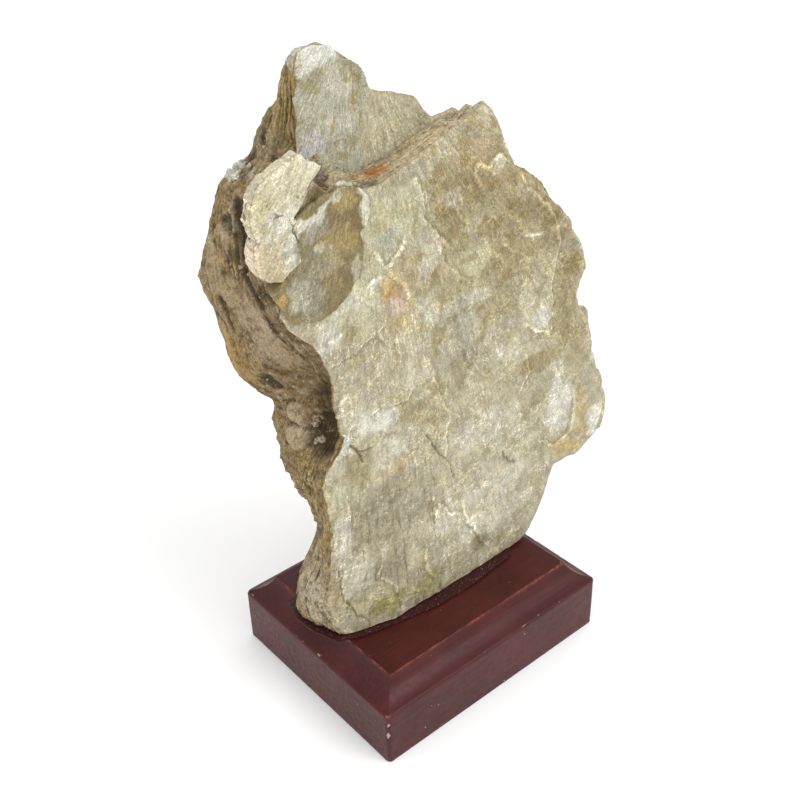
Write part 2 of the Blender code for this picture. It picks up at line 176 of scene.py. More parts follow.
BACK_PLATES = [
    ("back_plate", 14.6, 18.2, 0, 130, 0.4, 0.8, [
        (-29, 62), (-36, 92), (-40, 114), (-52, 134), (-56, 160), (-46, 182), (-22, 184), (2, 174),
        (20, 158), (34, 138), (42, 118), (46, 94), (36, 70), (20, 48), (-4, 38), (-24, 42),
    ]),
    ("back_ridge", 15.1, 19.8, 0, 110, 0.4, 0.8, [
        (-34, 100), (-36, 132), (-46, 150), (-38, 172), (-14, 172), (4, 158), (12, 134), (6, 104), (-8, 84),
        (-24, 84),
    ]),
    ("back_foot_sheet", 15.3, 17.2, 0, 60, 0.3, 0.6, [
        (-34, 26), (-33, 44), (-20, 56), (2, 52), (24, 44), (30, 26),
    ]),
]

# Broken borders of the sheets on the front face: rise, how far it runs out, points (x, z) with the
# raised side on the left
SCARPS = [
    (0.8, 12, [
        (3.5, 159.6), (-0.5, 164.7), (-4.5, 169.1), (-7, 174.1), (-8.2, 178.6), (-9.4, 182.9), (-10.6, 187),
    ]),
    (0.3, 3, [(-5.1, 173.5), (-6.3, 178), (-8.1, 182.6)]),
    (0.7, 6, [(-20.3, 162.4), (-22.1, 163.5), (-25.9, 169.4)]),
    (0.7, 6, [(-14.5, 171), (-17.6, 166.3), (-21.5, 161.8)]),
    (0.35, 4, [(-21, 160.5), (-17.9, 156.8), (-14.8, 152.4), (-13, 147)]),
    (0.7, 9, [
        (27.2, 179.9), (22.8, 184.2), (20, 183.4), (17.2, 182), (14.4, 183.2), (12.4, 183.2), (12.4, 179.1),
        (14.5, 176.7), (17, 175.2),
    ]),
    (0.3, 4, [(0.9, 175.5), (4.9, 172.2), (7.7, 167.6), (10.5, 164.6)]),
    (0.25, 3, [(6.3, 179.7), (9, 177.4), (12.5, 174.8)]),
    (0.4, 6, [(27.9, 163.3), (31, 159.6), (34.3, 154.5), (39, 153.1), (43.8, 152.2)]),
    (0.4, 6, [(23.7, 154.9), (28.3, 151.8), (33.8, 148.2), (39.5, 144)]),
    (0.4, 3, [(32.5, 142.7), (33.1, 146.1), (35.4, 146.5), (39.5, 143.4)]),
    (0.45, 14, [
        (49, 121.9), (49, 134.7), (50.1, 143), (51.3, 148.7), (49.2, 155.3), (46.4, 160.2), (40.6, 165.9),
        (35, 170.8), (30.2, 177.5),
    ]),
    (0.4, 7, [(13.6, 145.5), (9.2, 148.1), (3.5, 153.5), (-0.6, 159.3), (-3.2, 164.5)]),
    (0.4, 8, [(-20.9, 161), (-25.5, 160), (-30.5, 158)]),
    (0.3, 3, [(-34.8, 149.2), (-39.2, 147), (-43.6, 145.4), (-47.4, 143.5)]),
    (0.7, 12, [
        (-44.3, 136.7), (-39.8, 138.3), (-35.5, 138.3), (-31.5, 140.7), (-28.9, 141.9), (-26.3, 143.2),
        (-22.4, 144.2), (-21.3, 148),
    ]),
    (0.4, 4, [(-27.5, 132.7), (-27.5, 137.4), (-26.5, 139.9), (-22.5, 141.2)]),
    (0.25, 4, [(-19.9, 139.7), (-18.8, 134.6), (-16.3, 129.4)]),
    (0.4, 9, [
        (4.1, 76.5), (0.2, 85.4), (0.6, 90.1), (1, 96.7), (2.6, 102.6), (-1.8, 111.1), (-4.6, 120.4),
        (-6.6, 128),
    ]),
    (0.5, 8, [(-36.2, 126.4), (-39.4, 127.1), (-41.5, 124.5), (-40.6, 119.3)]),
    (0.8, 9, [
        (-31.6, 116.5), (-26.3, 116.6), (-21.6, 115.8), (-16.7, 115.6), (-13.2, 117.2), (-12.8, 120.5),
    ]),
    (0.3, 4, [(-39.3, 79.4), (-40.1, 87.3), (-41.1, 93.1)]),
    (0.6, 12, [(7.3, 58.7), (1.6, 63.2), (-3, 68.6), (-3.9, 61)]),
    (0.5, 9, [(6.5, 64.4), (8.9, 57.1), (10.6, 53.1), (16.6, 43.6), (21.1, 35.5)]),
    (0.25, 4, [(11, 100.3), (16.6, 95.1), (21.5, 90.1)]),
    (0.25, 4, [(12.4, 116.7), (16.3, 111.9), (20.3, 108.9)]),
    (0.6, 4, [(34.9, 122.7), (40.9, 118.5), (47.9, 113.2), (49.4, 119)]),
    (0.5, 5, [(62.5, 86), (63.4, 72.8), (61, 67.8), (52.8, 66.2), (45.2, 72.1)]),
    (0.2, 5, [(-17.3, 98.5), (-13.2, 90.6), (-10.3, 86.4)]),
    (0.4, 8, [(-27.5, 62), (-29, 52), (-24, 44), (-20, 34)]), (0.4, 8, [(-8, 52), (-10, 44), (-4, 36)]),
    (0.4, 10, [(36, 84), (33, 96), (39, 104), (36, 112)]),
]
# Hairline cracks in the front face: depth, width, points (x, z)
CRACKS = [
    (0.9, 0.5, [(-7.2, 97.8), (-3.5, 90.7), (0.2, 85.4), (4.1, 76.5)]),
    (0.6, 0.5, [(27, 76.3), (31.4, 69), (34, 68.1)]),
    (1.4, 0.8, [(-38.1, 107.7), (-35, 104.9), (-31, 104.3)]), (1.1, 0.6, [(-35, 104.9), (-33.8, 99)]),
    (0.5, 0.5, [(-32, 172.4), (-32.1, 167.3), (-31.5, 161.9)]),
    (0.8, 0.5, [(-46, 64), (-44, 55), (-41, 46), (-37, 38), (-33, 33)]),
]

# Hollows broken into the left edge: centre, radii, how far they go in
HOLLOWS = [
    ((-41.5, -6.5, 121), (8, 4, 7), 4), ((-42, -5, 110), (8, 4.6, 9), 4.6),
    ((-60.5, -3, 182), (7, 2, 9), 2.6), ((-43, -9.5, 193.5), (8, 3.4, 4), 2.4),
    ((-53, 3, 130.5), (5, 2.8, 4), 2.6), ((-64, 2, 184), (5, 2.2, 3), 2),
    ((-61, -2, 176), (5, 1.8, 8), 1.6), ((-46, 5, 204), (6, 1.6, 5), 1.5),
]
# Ridges, shells and grooves along the torn edge: start, end, radius, how far they stand out
EDGE_LINES = [
    ((-62.5, 2.5, 164), (-49, -4, 138), 4.4, 0.7), ((-46.5, 0.7, 118), (-46.5, 0.5, 116.5), 3.4, 1.2),
    ((-47.5, 1.7, 109), (-47.5, 1.5, 107.5), 3.6, 1.1), ((-53.5, -7.5, 149), (-49.5, -6.8, 139.5), 1.4, 2),
    ((-49.5, -6.8, 139.5), (-42, -7.2, 129.5), 1.5, 2.2), ((-60, 11.5, 146), (-57, 9.5, 134), 5, 0.6),
    ((-66, 6, 172), (-64.5, 7, 164), 3, 0.5), ((-64.5, 6, 160), (-52.5, 4.8, 128), 1.1, -1.3),
    ((-59.5, -1, 189), (-61.5, -2.6, 176), 1.4, -1.6), ((-61.8, -2, 172), (-58, -4.8, 159), 1, -1.4),
    ((-58, -5, 156), (-53, -5.6, 145), 0.9, -1.2), ((-49.5, -7.5, 63), (-50.5, -8, 50), 0.9, -1.4),
    ((-50.5, -8, 50), (-47.5, -7, 34), 0.9, -1.4), ((-49, -3, 58), (-50, -4, 46), 0.8, -1.3),
    ((-50, -4, 46), (-47, -1, 33), 0.8, -1.3), ((-47, -9, 56), (-47.5, -9, 44), 0.7, -0.9),
    ((-47.5, -9, 44), (-43, -9.8, 33), 0.7, -0.9), ((-46, -12.6, 72), (-48, -12.6, 58), 0.6, -0.8),
    ((-48, -12.6, 58), (-41, -12.6, 32), 0.6, -0.8),
]
# Where the pages of the torn edge part clearly: centre, radii
PAGED = [
    ((-44, -2, 213), (8, 9, 15)), ((-45, -4, 91), (9, 9, 14)), ((-62, -2, 172), (8, 5, 10)),
]
# Chips and grains on the torn edge: centre, reach, how many, size, tone
CHIPS = [
    ((-55.8, 6.2, 192.3), (1, 0.8, 0.6), 4, 1.7, "white"),
    ((-51.3, 5.5, 193.8), (0.9, 0.9, 0.7), 2, 1.6, "white"),
    ((-53.5, 8.5, 196), (1.2, 1.2, 0.6), 3, 1.6, "pale"), ((-47, 4.5, 200), (3, 5, 5), 26, 0.55, "tan"),
    ((-42, -4, 107), (1.8, 1.4, 1.8), 6, 1.1, "foot"),
    ((-41.8, -3.2, 113.5), (2, 1.6, 2.5), 8, 1.1, "shell"),
    ((-33.6, -14.2, 190.2), (2.2, 0.5, 0.7), 12, 1.9, "white"),
    ((-59, 0, 172), (5, 7, 12), 14, 0.7, "shell"), ((-49.5, -15.5, 201.5), (2, 1, 0.8), 4, 1, "pale"),
]

# ---- Tones, as soft patches ----

# On the front face: tone, x, z, half width, half height, turn in degrees, strength
FACE_TONES = [
    ("olive", 22, 166, 35, 24, -30, 0.72), ("olive", 58, 132, 9, 10, 0, 0.6),
    ("dark_olive", 9, 177, 10.6, 5.2, -20, 0.5), ("dark_olive", 35, 163, 12.2, 4.4, -35, 0.45),
    ("dark_olive", 46, 153, 4.5, 8.9, -15, 0.3), ("olive", -2, 174, 5.7, 8.1, -15, 0.7),
    ("dark_olive", 56, 143, 4.9, 6.7, 0, 0.3), ("pale", 2, 190, 5.7, 3, 0, 0.4),
    ("pale", 13, 162, 4.5, 4.4, 0, 0.25), ("pale", 4, 175, 6, 2, -40, 0.3),
    ("pale", 37, 154, 7.3, 1.2, -20, 0.4), ("pale", 24, 184, 3, 5.5, -30, 0.6),
    ("pale_green", 13, 154, 8.1, 4.4, 0, 0.6), ("pale", 34, 171, 2, 7, 30, 0.3),
    ("tan", 11, 187, 8.9, 5.2, 0, 0.3), ("tan", 19, 178, 7.3, 4.4, 0, 0.2),
    ("pale_green", -16, 182, 9.8, 17, 8, 0.65), ("pale_green", -22, 173, 7.3, 10.4, 0, 0.5),
    ("white", -12, 190, 4.1, 3, 0, 0.6), ("grey", -7, 165, 4.9, 15.6, -12, 0.35),
    ("pale", -5, 161, 4.1, 8.1, -25, 0.5), ("grey", -21, 169, 4.1, 3.7, 0, 0.8),
    ("tan", -13, 158, 4.9, 5.9, 0, 0.4), ("dark_olive", -4, 154, 3.3, 4.4, 0, 0.4),
    ("olive", -8, 151, 3.3, 5.2, 0, 0.5), ("olive", 1, 148, 4.9, 4.4, 0, 0.4),
    ("pale", 14, 140, 4.1, 3.7, 0, 0.6), ("olive", 24, 134, 10.6, 6.7, 0, 0.5),
    ("grey", 8, 137, 7.3, 5.2, 0, 0.5), ("gold", -15, 144, 6.5, 5.9, 0, 0.6),
    ("pale_green", -34, 154, 11.4, 9.6, 35, 0.8), ("pale", -34, 156.5, 14, 2, 22, 0.8),
    ("gold", -22, 158, 4.1, 3, 0, 0.7), ("tan", -15, 151, 3.3, 4.4, 0, 0.5),
    ("pink", -18, 149, 4.1, 3, 0, 0.8), ("gold", -19, 155, 4, 4, 0, 0.5),
    ("rust", -20, 154, 2.4, 2, 0, 0.55), ("rust", -21, 153, 1.4, 1.2, 0, 0.5),
    ("dark_olive", 56, 137, 6.5, 8.1, 0, 0.25), ("olive", 53, 120, 4.9, 8.1, 0, 0.6),
    ("white", -43, 146, 5.7, 3.7, 40, 0.6), ("olive", -37, 146, 4.9, 3.3, 30, 0.6),
    ("pale", -9, 143, 4.9, 4.4, 0, 0.55), ("olive", -3, 131, 2.8, 6.7, -8, 0.75),
    ("grey", 9, 132, 6.5, 6.7, 0, 0.4), ("dark_olive", 7, 116, 4.5, 8.1, 0, 0.5),
    ("olive", 44, 106, 10.6, 4.4, 0, 0.8), ("white", 44, 121, 5.7, 4.4, 0, 0.7),
    ("pale", 29, 115, 6.5, 3.7, 0, 0.55), ("pale", -38, 122, 5.7, 5.2, 0, 0.4),
    ("white", -28, 113, 8.9, 4.1, -10, 0.8), ("white", -22, 109, 4.1, 3.7, 0, 0.6),
    ("white", -41, 108, 4.9, 3.7, 0, 0.75), ("pale", -24, 100, 11.4, 4.4, 0, 0.5),
    ("olive", -12, 110, 9.8, 4.4, -10, 0.6), ("pale", -12, 123, 5.7, 4.4, 0, 0.35),
    ("pale_green", 1, 96, 2.4, 8.1, 0, 0.6), ("grey", 8, 89, 2.4, 4.4, 0, 0.6),
    ("olive", 38, 88, 7.3, 3.7, 0, 0.7), ("olive", 60, 110, 7, 18, 18, 0.6),
    ("white", 55, 82, 6.1, 12.6, 6, 0.75), ("gold", 61, 62, 9.8, 3.3, -25, 0.9),
    ("olive", 48, 67, 4.9, 3.7, 0, 0.6), ("gold", 68, 75, 2.8, 14.1, 10, 0.7),
    ("white", 77, 67.5, 6, 7, 0, 0.75), ("dark_olive", 31, 70, 2.4, 1.9, 0, 0.6),
    ("pale_green", 37, 73, 6.5, 3.7, 30, 0.6), ("pale", 21, 89, 16.3, 7.4, 0, 0.5),
    ("olive", -35, 99, 5.7, 6.7, 0, 0.65), ("tan", -22, 92, 7.3, 3.7, 0, 0.4),
    ("pale_green", -46, 91, 6.5, 4.4, 0, 0.7), ("olive_grey", -25, 77, 18.7, 12.6, 0, 0.75),
    ("pale", 1, 61, 4.9, 7.4, 0, 0.7), ("pale", 10, 70, 42, 26, 0, 0.12), ("pale", 22, 55, 21, 15, 0, 0.5),
    ("dark_olive", 16, 42, 4.5, 4.4, 0, 0.6), ("white", -43, 76, 4.9, 7.4, 0, 0.5),
    ("pale", -38, 56, 7, 14, 6, 0.5), ("olive", 41, 56, 8.9, 3.7, -10, 0.35),
    ("olive_grey", -24, 58, 8, 14, 4, 0.45), ("olive_green", -25, 37, 9, 4, 15, 0.75),
    ("olive_green", -8, 37, 6, 6, 10, 0.5), ("white", -21, 32.5, 2, 1.6, 0, 0.9),
    ("dark_olive", -2, 31, 2.2, 3, 0, 0.8), ("gold", -40, 188.5, 4, 4, 20, 0.8),
    ("brown", -44, 191, 3, 4, 0, 0.8), ("tan", -50, 62, 5, 22, 10, 0.4),
    ("rust", -44.5, 122, 1.5, 12, 0, 0.35), ("olive_grey", -14, 187.5, 9, 3, 18, 0.6),
]
# On the plates: their plain tone, its strength, and patches as above
PLATE_TONES = {
    "cream_block": ("cream", 0.9, [
        ("white", -57, 187, 6, 4.5, 30, 0.55), ("olive", -57.9, 183.2, 2.6, 1.3, 0, 0.5),
        ("olive", -63, 186.7, 2, 1.5, 0, 0.35), ("tan", -62, 177.5, 5, 6, 0, 0.4),
        ("pink", -66, 180.5, 2, 5, 0, 0.5), ("grey", -54.3, 178.6, 4.2, 4.4, 0, 0.85),
        ("white", -55.7, 176.8, 1.8, 1.2, 40, 0.9), ("white", -56.4, 181.2, 1.6, 1.2, 0, 0.8),
        # The long "white" patch at x -53.6, z 173.9 is a painted highlight, a glint
        ("white", -53.6, 173.9, 3, 1.1, 35, 1), ("dark", -58.5, 188.8, 0.6, 0.5, 0, 0.7),
        ("dark", -61.1, 192.5, 0.6, 0.5, 0, 0.6), ("dark", -51.6, 191.8, 0.5, 0.6, 0, 0.7),
        ("dark", -53.3, 192.7, 0.5, 0.5, 0, 0.5), ("pale", -48, 199.5, 4, 2.5, 0, 0.5),
    ]),
    "olive_plate": ("dark_olive", 0.9, [
        ("brown", -36, 180, 7, 9, 0, 0.6), ("gold", -36.4, 186.6, 4, 3, 0, 0.7),
        ("pale", -47, 185.8, 9.5, 1.8, 26, 0.9), ("lilac", -47, 181.4, 6, 3, 25, 0.35),
        # The small "white" patch at x -44.4, z 176.4 is a painted highlight, a glint
        ("white", -44.4, 176.4, 1.9, 1.3, 0, 0.8), ("tan", -42, 169.7, 4, 3, 0, 0.5),
        ("dark_olive", -58, 169.5, 3, 3.2, 0, 0.6), ("pale", -54, 165, 3, 6, 0, 0.4),
        ("grey", -50, 162, 6, 6, 0, 0.5), ("brown", -45.8, 159.5, 2.5, 2.5, 0, 0.5),
        ("brown", -44, 156, 2.5, 2, 0, 0.4), ("pale", -28.6, 182, 2.2, 7.5, 8, 0.85),
        ("pale", -33, 165, 3.4, 5, 0, 0.5), ("orange", -61, 162, 1.6, 8, -20, 0.7),
        ("grey", -46, 172, 8, 5, 0, 0.35), ("gold", -40, 176, 9, 4, -30, 0.4),
    ]),
    "peak_plate": ("grey", 0.72, [
        ("white", -36, 223.2, 8, 3.2, -6, 1), ("white", -38.5, 220.2, 4, 1.8, 0, 0.8),
        ("lilac", -38.5, 199.5, 3, 5, 0, 0.5), ("pale", -30, 214.5, 5, 4, 0, 0.4),
        ("pale", -28, 204, 6, 4, 0, 0.35), ("olive", -24, 210, 3, 7, 0, 0.3),
    ]),
}
# On the torn edges: tone, centre, radii, strength
# The "dark" patches at the hollows and the crevice of the torn edge, about x -41, -42, -53, -60 and -60.5,
# are painted shade
EDGE_TONES = [
    ("shell", (-56, -0.5, 151), (8, 5, 15), 0.8), ("tan", (-62, 6, 156), (7, 8, 20), 0.35),
    ("dark", (-41, -7, 119), (6, 3.6, 10), 0.8), ("straw", (-50, -7.4, 141), (5, 1.7, 10), 0.8),
    ("straw", (-43, -7.6, 130), (4, 1.6, 2.4), 0.7), ("dark", (-42, -4.5, 109.5), (5, 4, 7), 0.8),
    ("dark", (-60.5, -2.4, 184), (5, 1.8, 9), 0.6), ("foot", (-62, 1.5, 183), (4, 2, 6), 0.5),
    ("dark", (-60, -4, 163), (4, 1.6, 7), 0.5), ("dark", (-53, 3, 130), (4, 3, 4.5), 0.75),
    ("brown", (-44, -9.5, 193), (5, 3, 3.5), 0.8), ("gold", (-44, -1, 212), (6, 9, 15), 0.75),
    ("orange", (-42, -5, 212), (4, 1.6, 16), 0.5), ("grey", (-48, 4, 200), (6, 7, 6), 0.4),
    ("orange", (-60, 11, 139), (8, 8, 13), 0.75), ("shell", (-47, 0.5, 112.5), (6, 4, 9), 0.7),
    ("gold", (-45, -3, 92), (7, 8, 14), 0.35), ("orange", (-44, -11.5, 120), (5, 1.8, 15), 0.7),
    ("orange", (-46, -11.5, 84), (5, 1.8, 14), 0.6), ("foot", (-47, -3, 46), (10, 14, 24), 0.85),
    ("brown", (-48.5, 1.5, 50), (4, 2, 5), 0.6), ("brown", (-48, -4, 36), (4, 2.2, 5), 0.6),
    ("dark", (-45, 1, 73), (5, 5, 4), 0.4), ("straw", (-8, -10, 194), (40, 9, 9), 0.95),
    ("grey", (-24, -6.5, 191), (16, 2.4, 6), 0.7), ("pale", (14, -11, 199), (10, 4, 5), 0.6),
    ("rust", (-21.5, -9.6, 189.5), (5.5, 2.6, 2.6), 0.9), ("dark", (-27, -12.6, 187), (9, 1.3, 2), 0.55),
    ("white", (-57, 2, 194.5), (4, 5, 2.5), 0.5), ("white", (-38, -3, 223), (8, 8, 3.5), 0.7),
]


# ---- Settings a user would change ----


class MicaCrystalSettings(bpy.types.PropertyGroup):
    """Sizes and colours of the crystal."""

    page: FloatProperty(
        name="Page thickness", description="Mean thickness of the sheets seen at a torn edge",
        default=0.9 * MM, min=0.3 * MM, max=3 * MM, unit="LENGTH",
    )
    ragged: FloatProperty(
        name="Raggedness", description="How far a torn sheet edge wanders from its outline",
        default=0.75 * MM, min=0.0, max=3 * MM, unit="LENGTH",
    )
    relief: FloatProperty(
        name="Relief", description="Height of the flakes and folds on the cleavage faces, as a share",
        default=1.0, min=0.0, max=3.0, subtype="FACTOR",
    )
    pearl: FloatVectorProperty(
        name="Pearl", description="Colour of the plain cleavage face",
        default=(0.335, 0.300, 0.198), min=0.0, max=1.0, size=3, subtype="COLOR",
    )
    torn: FloatVectorProperty(
        name="Torn edge", description="Colour of the weathered book edge",
        default=(0.250, 0.178, 0.076), min=0.0, max=1.0, size=3, subtype="COLOR",
    )
    seed: IntProperty(name="Seed", description="Start of the random draws", default=7, min=0)


class MicaStandSettings(bpy.types.PropertyGroup):
    """Sizes and colours of the stand and the glue."""

    corner: FloatProperty(
        name="Corner radius", description="Rounding of the stand's upright corners",
        default=1.4 * MM, min=0.3 * MM, max=5 * MM, unit="LENGTH",
    )
    side_height: FloatProperty(
        name="Side height", description="Height of the upright sides below the moulded edge",
        default=21.5 * MM, min=5 * MM, max=27 * MM, unit="LENGTH",
    )
    moulding: FloatProperty(
        name="Moulding width", description="How far the moulded edge runs in from the side",
        default=8.35 * MM, min=2 * MM, max=20 * MM, unit="LENGTH",
    )
    lacquer: FloatVectorProperty(
        name="Lacquer", description="Colour of the lacquered wood",
        default=(0.043, 0.0068, 0.0062), min=0.0, max=1.0, size=3, subtype="COLOR",
    )
    worn: FloatVectorProperty(
        name="Worn wood", description="Colour of the wood where the lacquer has rubbed off",
        default=(0.20, 0.050, 0.030), min=0.0, max=1.0, size=3, subtype="COLOR",
    )
    glue: FloatVectorProperty(
        name="Glue", description="Colour of the glue under the crystal",
        default=(0.035, 0.0072, 0.0066), min=0.0, max=1.0, size=3, subtype="COLOR",
    )


class MicaStageSettings(bpy.types.PropertyGroup):
    """Light, floor and camera."""

    key: FloatProperty(
        name="Key light", description="Power of the large soft light", default=5.5, min=0.0,
        unit="POWER",
    )
    fill: FloatProperty(
        name="Fill light", description="Power of the second soft light", default=2.0, min=0.0,
        unit="POWER",
    )
    sky: FloatProperty(
        name="Surroundings", description="Strength of the pale surroundings", default=1.0, min=0.0,
    )
    azimuth: FloatProperty(
        name="Camera azimuth", description="Direction of view, from +Y towards +X",
        default=math.radians(39.42), subtype="ANGLE",
    )
    elevation: FloatProperty(
        name="Camera elevation", description="How steeply the camera looks down",
        default=math.radians(32.23), subtype="ANGLE",
    )
    roll: FloatProperty(
        name="Camera roll", description="Turn of the camera about its direction of view",
        default=math.radians(-1.91), subtype="ANGLE",
    )
    place: FloatVectorProperty(
        name="Camera place", description="Where the camera stands",
        default=(-0.1989, -0.2337, 0.2957), size=3, subtype="TRANSLATION", unit="LENGTH",
    )
    lens: FloatProperty(
        name="Focal length", description="Focal length on a 36 mm sensor", default=49.49, min=10.0,
    )


# ---- Noise ----

DIRECTIONS = np.random.default_rng(11).normal(size=(256, 3))
DIRECTIONS /= np.linalg.norm(DIRECTIONS, axis=1, keepdims=True)


def ease(share):
    """0 below 0, 1 above 1, and three times the square less twice the cube between."""
    held = np.clip(share, 0.0, 1.0)
    return held * held * (3 - 2 * held)


def scatter(cell, seed):
    """A number in 0..1 for each whole-number cell: its coordinates mixed by large odd factors."""
    mixed = np.full(cell.shape[:-1], np.uint64(seed * 2654435761 + 97))
    for axis in range(cell.shape[-1]):
        part = cell[..., axis].astype(np.int64).view(np.uint64)
        mixed = (mixed ^ part) * np.uint64(6364136223846793005)
        mixed ^= mixed >> np.uint64(29)
    return (mixed >> np.uint64(40)).astype(np.float64) / 2**24


def noise(points, size, seed, octaves=1):
    """Smooth noise in about -1..1. Each corner of a lattice of that size has a random direction, the
    value is the offset from the corner along it, and corners are blended by an eased weight. Each
    further octave halves the size and the strength."""
    total = np.zeros(points.shape[:-1])
    for octave in range(octaves):
        place = points / np.asarray(size, float) * 2**octave + 0.37 * octave
        cell = np.floor(place).astype(np.int64)
        away = place - cell
        weight = away * away * away * (away * (away * 6 - 15) + 10)
        for corner in np.ndindex(*(2,) * points.shape[-1]):
            pick = (scatter(cell + corner, seed + 31 * octave) * 255).astype(int)
            slope = (DIRECTIONS[pick, : points.shape[-1]] * (away - corner)).sum(-1)
            share = np.where(corner, weight, 1 - weight).prod(-1)
            total += 1.6 * slope * share / 2**octave
    return total


def inside_distance(points, outline):
    """Distance of each (x, z) from the outline's nearest side, positive inside it."""
    start = np.array(outline, float)
    side = np.roll(start, -1, axis=0) - start
    inside = np.zeros(points.shape[:-1], bool)
    nearest = np.full(points.shape[:-1], 1e9)
    for (x, z), (run, rise) in zip(start, side):
        away = points - (x, z)
        along = np.clip((away @ (run, rise)) / (run * run + rise * rise), 0, 1)
        nearest = np.minimum(nearest, np.hypot(away[..., 0] - along * run, away[..., 1] - along * rise))
        spans = (points[..., 1] >= z) != (points[..., 1] >= z + rise)
        crossing = x + (points[..., 1] - z) * run / (rise if rise else 1e-9)
        inside ^= spans & (points[..., 0] < crossing)
    return np.where(inside, nearest, -nearest)


def oval_distance(points, centre, radii):
    """Distance of each point from an oval's centre, in its radii."""
    return np.linalg.norm((points - centre) / radii, axis=-1)


def line_place(points, line):
    """Where each (x, z) lies by a line of straight stretches: how far to its left (negative to its
    right), how far along it, and the line's length."""
    nearest = np.full(points.shape[:-1], 1e9)
    side, along, passed = np.ones_like(nearest), np.zeros_like(nearest), 0.0
    for start, end in zip(line[:-1], line[1:]):
        run = np.subtract(end, start)
        length = math.hypot(*run)
        away = points - start
        share = np.clip((away @ run) / length**2, 0, 1)
        distance = np.linalg.norm(away - share[..., None] * run, axis=-1)
        closer = distance < nearest
        left = np.where(run[0] * away[..., 1] - run[1] * away[..., 0] > 0, 1.0, -1.0)
        side = np.where(closer, left, side)
        along = np.where(closer, passed + share * length, along)
        nearest = np.minimum(nearest, distance)
        passed += length
    return side * nearest, along, passed


# ---- Grain of the face ----

FAN = np.array([-25.0, 232.0])  # x and z that the face's streaks fan out from

# Stacks of flakes on a cleavage face, in millimetres: size across and along the grain, how many
# treads the noise is cut into, rise of one tread
FLAKE_STACKS = [(17.0, 34.0, 3.0, 0.16), (6.0, 14.0, 2.6, 0.07)]


def grain(points):
    """Across and along the streaks, in millimetres: the angle about the fan's head times 100 mm, and
    the distance from it."""
    away = points - FAN
    return np.stack([100 * np.arctan2(away[..., 0], -away[..., 1]), np.linalg.norm(away, axis=-1)], -1)


def wandering(points, reach, size, seed):
    """The points moved sideways by noise, so that a border drawn through them turns ragged."""
    shift = np.stack([noise(points, size, seed, 3), noise(points, size, seed + 5, 3)], -1)
    return points + reach * shift


def wrinkle_lines(points, reach, size, seed, width):
    """Sharp ridges where noise crosses nothing: 1 on the line, falling straight to 0 at that width.
    The points are moved by noise of that reach first."""
    crossing = noise(wandering(points, 1.5, reach, seed), size, seed + 1)
    return np.clip(1 - np.abs(crossing) / width, 0, 1)


def treads(values, riser):
    """A value cut into level treads one apart, each followed by a riser that takes that share."""
    whole = np.floor(values)
    return whole + ease((values - whole - 1 + riser) / riser)


def face_relief(points, seed):
    """How far a cleavage face stands proud, in millimetres: low swells, two stacks of flakes (noise
    along the grain, cut into treads so that each flake ends at a ragged border), faint streaks."""
    streaks = grain(wandering(points, 1.3, 4.0, seed))
    height = 0.5 * noise(points, 40.0, seed + 1, 2) + 0.16 * noise(points, 12.0, seed + 2, 2)
    for number, (across, along, count, rise) in enumerate(FLAKE_STACKS):
        field = noise(streaks, (across, along), seed + 10 + number, 3)
        height += rise * treads(count * field, 0.2)
    return height + 0.05 * noise(streaks, (1.6, 22.0), seed + 60, 2)


def fibre_share(points):
    """Where the face is drawn into upright fibres: the lower left, fading upwards and rightwards."""
    return ease((12 - points[..., 0]) / 22) * ease((98 - points[..., 1]) / 20)


def crumple_share(points):
    """Where the face is finely wrinkled: the upper right and the streaked middle."""
    upper = ease((points[..., 1] - 118) / 22) * ease((points[..., 0] + 14) / 10)
    middle = 0.7 * ease(1 - np.abs(points[..., 0] + 4) / 12) * ease((points[..., 1] - 84) / 12)
    return np.clip(np.maximum(upper, middle) + 0.2, 0, 1)


def border_steps(points):
    """Height of the sheets that end at the broken borders, the thin rim along each border, painted as a
    highlight, and the foot below it, painted as shade. The height jumps up across the border, falls off
    away from it by an exponential, and fades at the border's two ends."""
    height, rim, foot = (np.zeros(points.shape[:-1]) for _ in range(3))
    for rise, reach, line in SCARPS:
        across, along, length = line_place(points, line)
        taper = ease(np.minimum(along, length - along) / min(3.0, length / 3))
        height += 0.9 * rise * taper * ease(0.5 + across / 0.7) * np.exp(-np.maximum(across, 0) / reach)
        share = taper * min(1.0, 0.3 + 1.4 * rise)
        rim = np.maximum(rim, share * ease(1.15 - np.abs(across - 0.25) / 0.6))
        foot = np.maximum(foot, 0.4 * share * ease(1 - np.abs(across + 0.8) / 1.1))
    return height, rim, foot


def front_relief(points, seed):
    """The front face's relief: the common one, the sheets that end at broken borders, fibres at the
    lower left, fine wrinkles, cracks. Gives also the borders' rims, for a painted highlight, and the dark
    of the cracks with the painted shade at the borders' feet."""
    ragged = wandering(wandering(points, 0.6, 2.6, seed + 70), 1.0, 8.0, seed + 75)
    height, rim, dark = border_steps(ragged)
    height += face_relief(points, seed)
    streaks = grain(points)
    fibres = noise(streaks, (1.5, 26.0), seed + 80, 2) * 0.16
    fibres += noise(streaks, (3.6, 40.0), seed + 81) * 0.26
    height += fibre_share(points) * fibres
    height += 0.10 * crumple_share(points) * wrinkle_lines(streaks, 5.0, (3.2, 7.0), seed + 82, 0.10)
    for depth, width, line in CRACKS:
        across, _, _ = line_place(ragged, line)
        cut = ease(1 - np.abs(across) / (1.2 * width))
        height -= 0.7 * depth * cut
        # The dark mask holds the painted shade at the borders' feet, and here the darker cracks too
        dark = np.maximum(dark, 1.1 * cut)
    return height, rim, dark


def bend_back(points):
    """How far the sheets bend back at the lower left corner: 0.27 of the way past x = -24, fading
    out above the foot."""
    return 0.27 * np.maximum(0, -24 - points[..., 0]) * ease((66 - points[..., 1]) / 26)


# ---- Tints ----

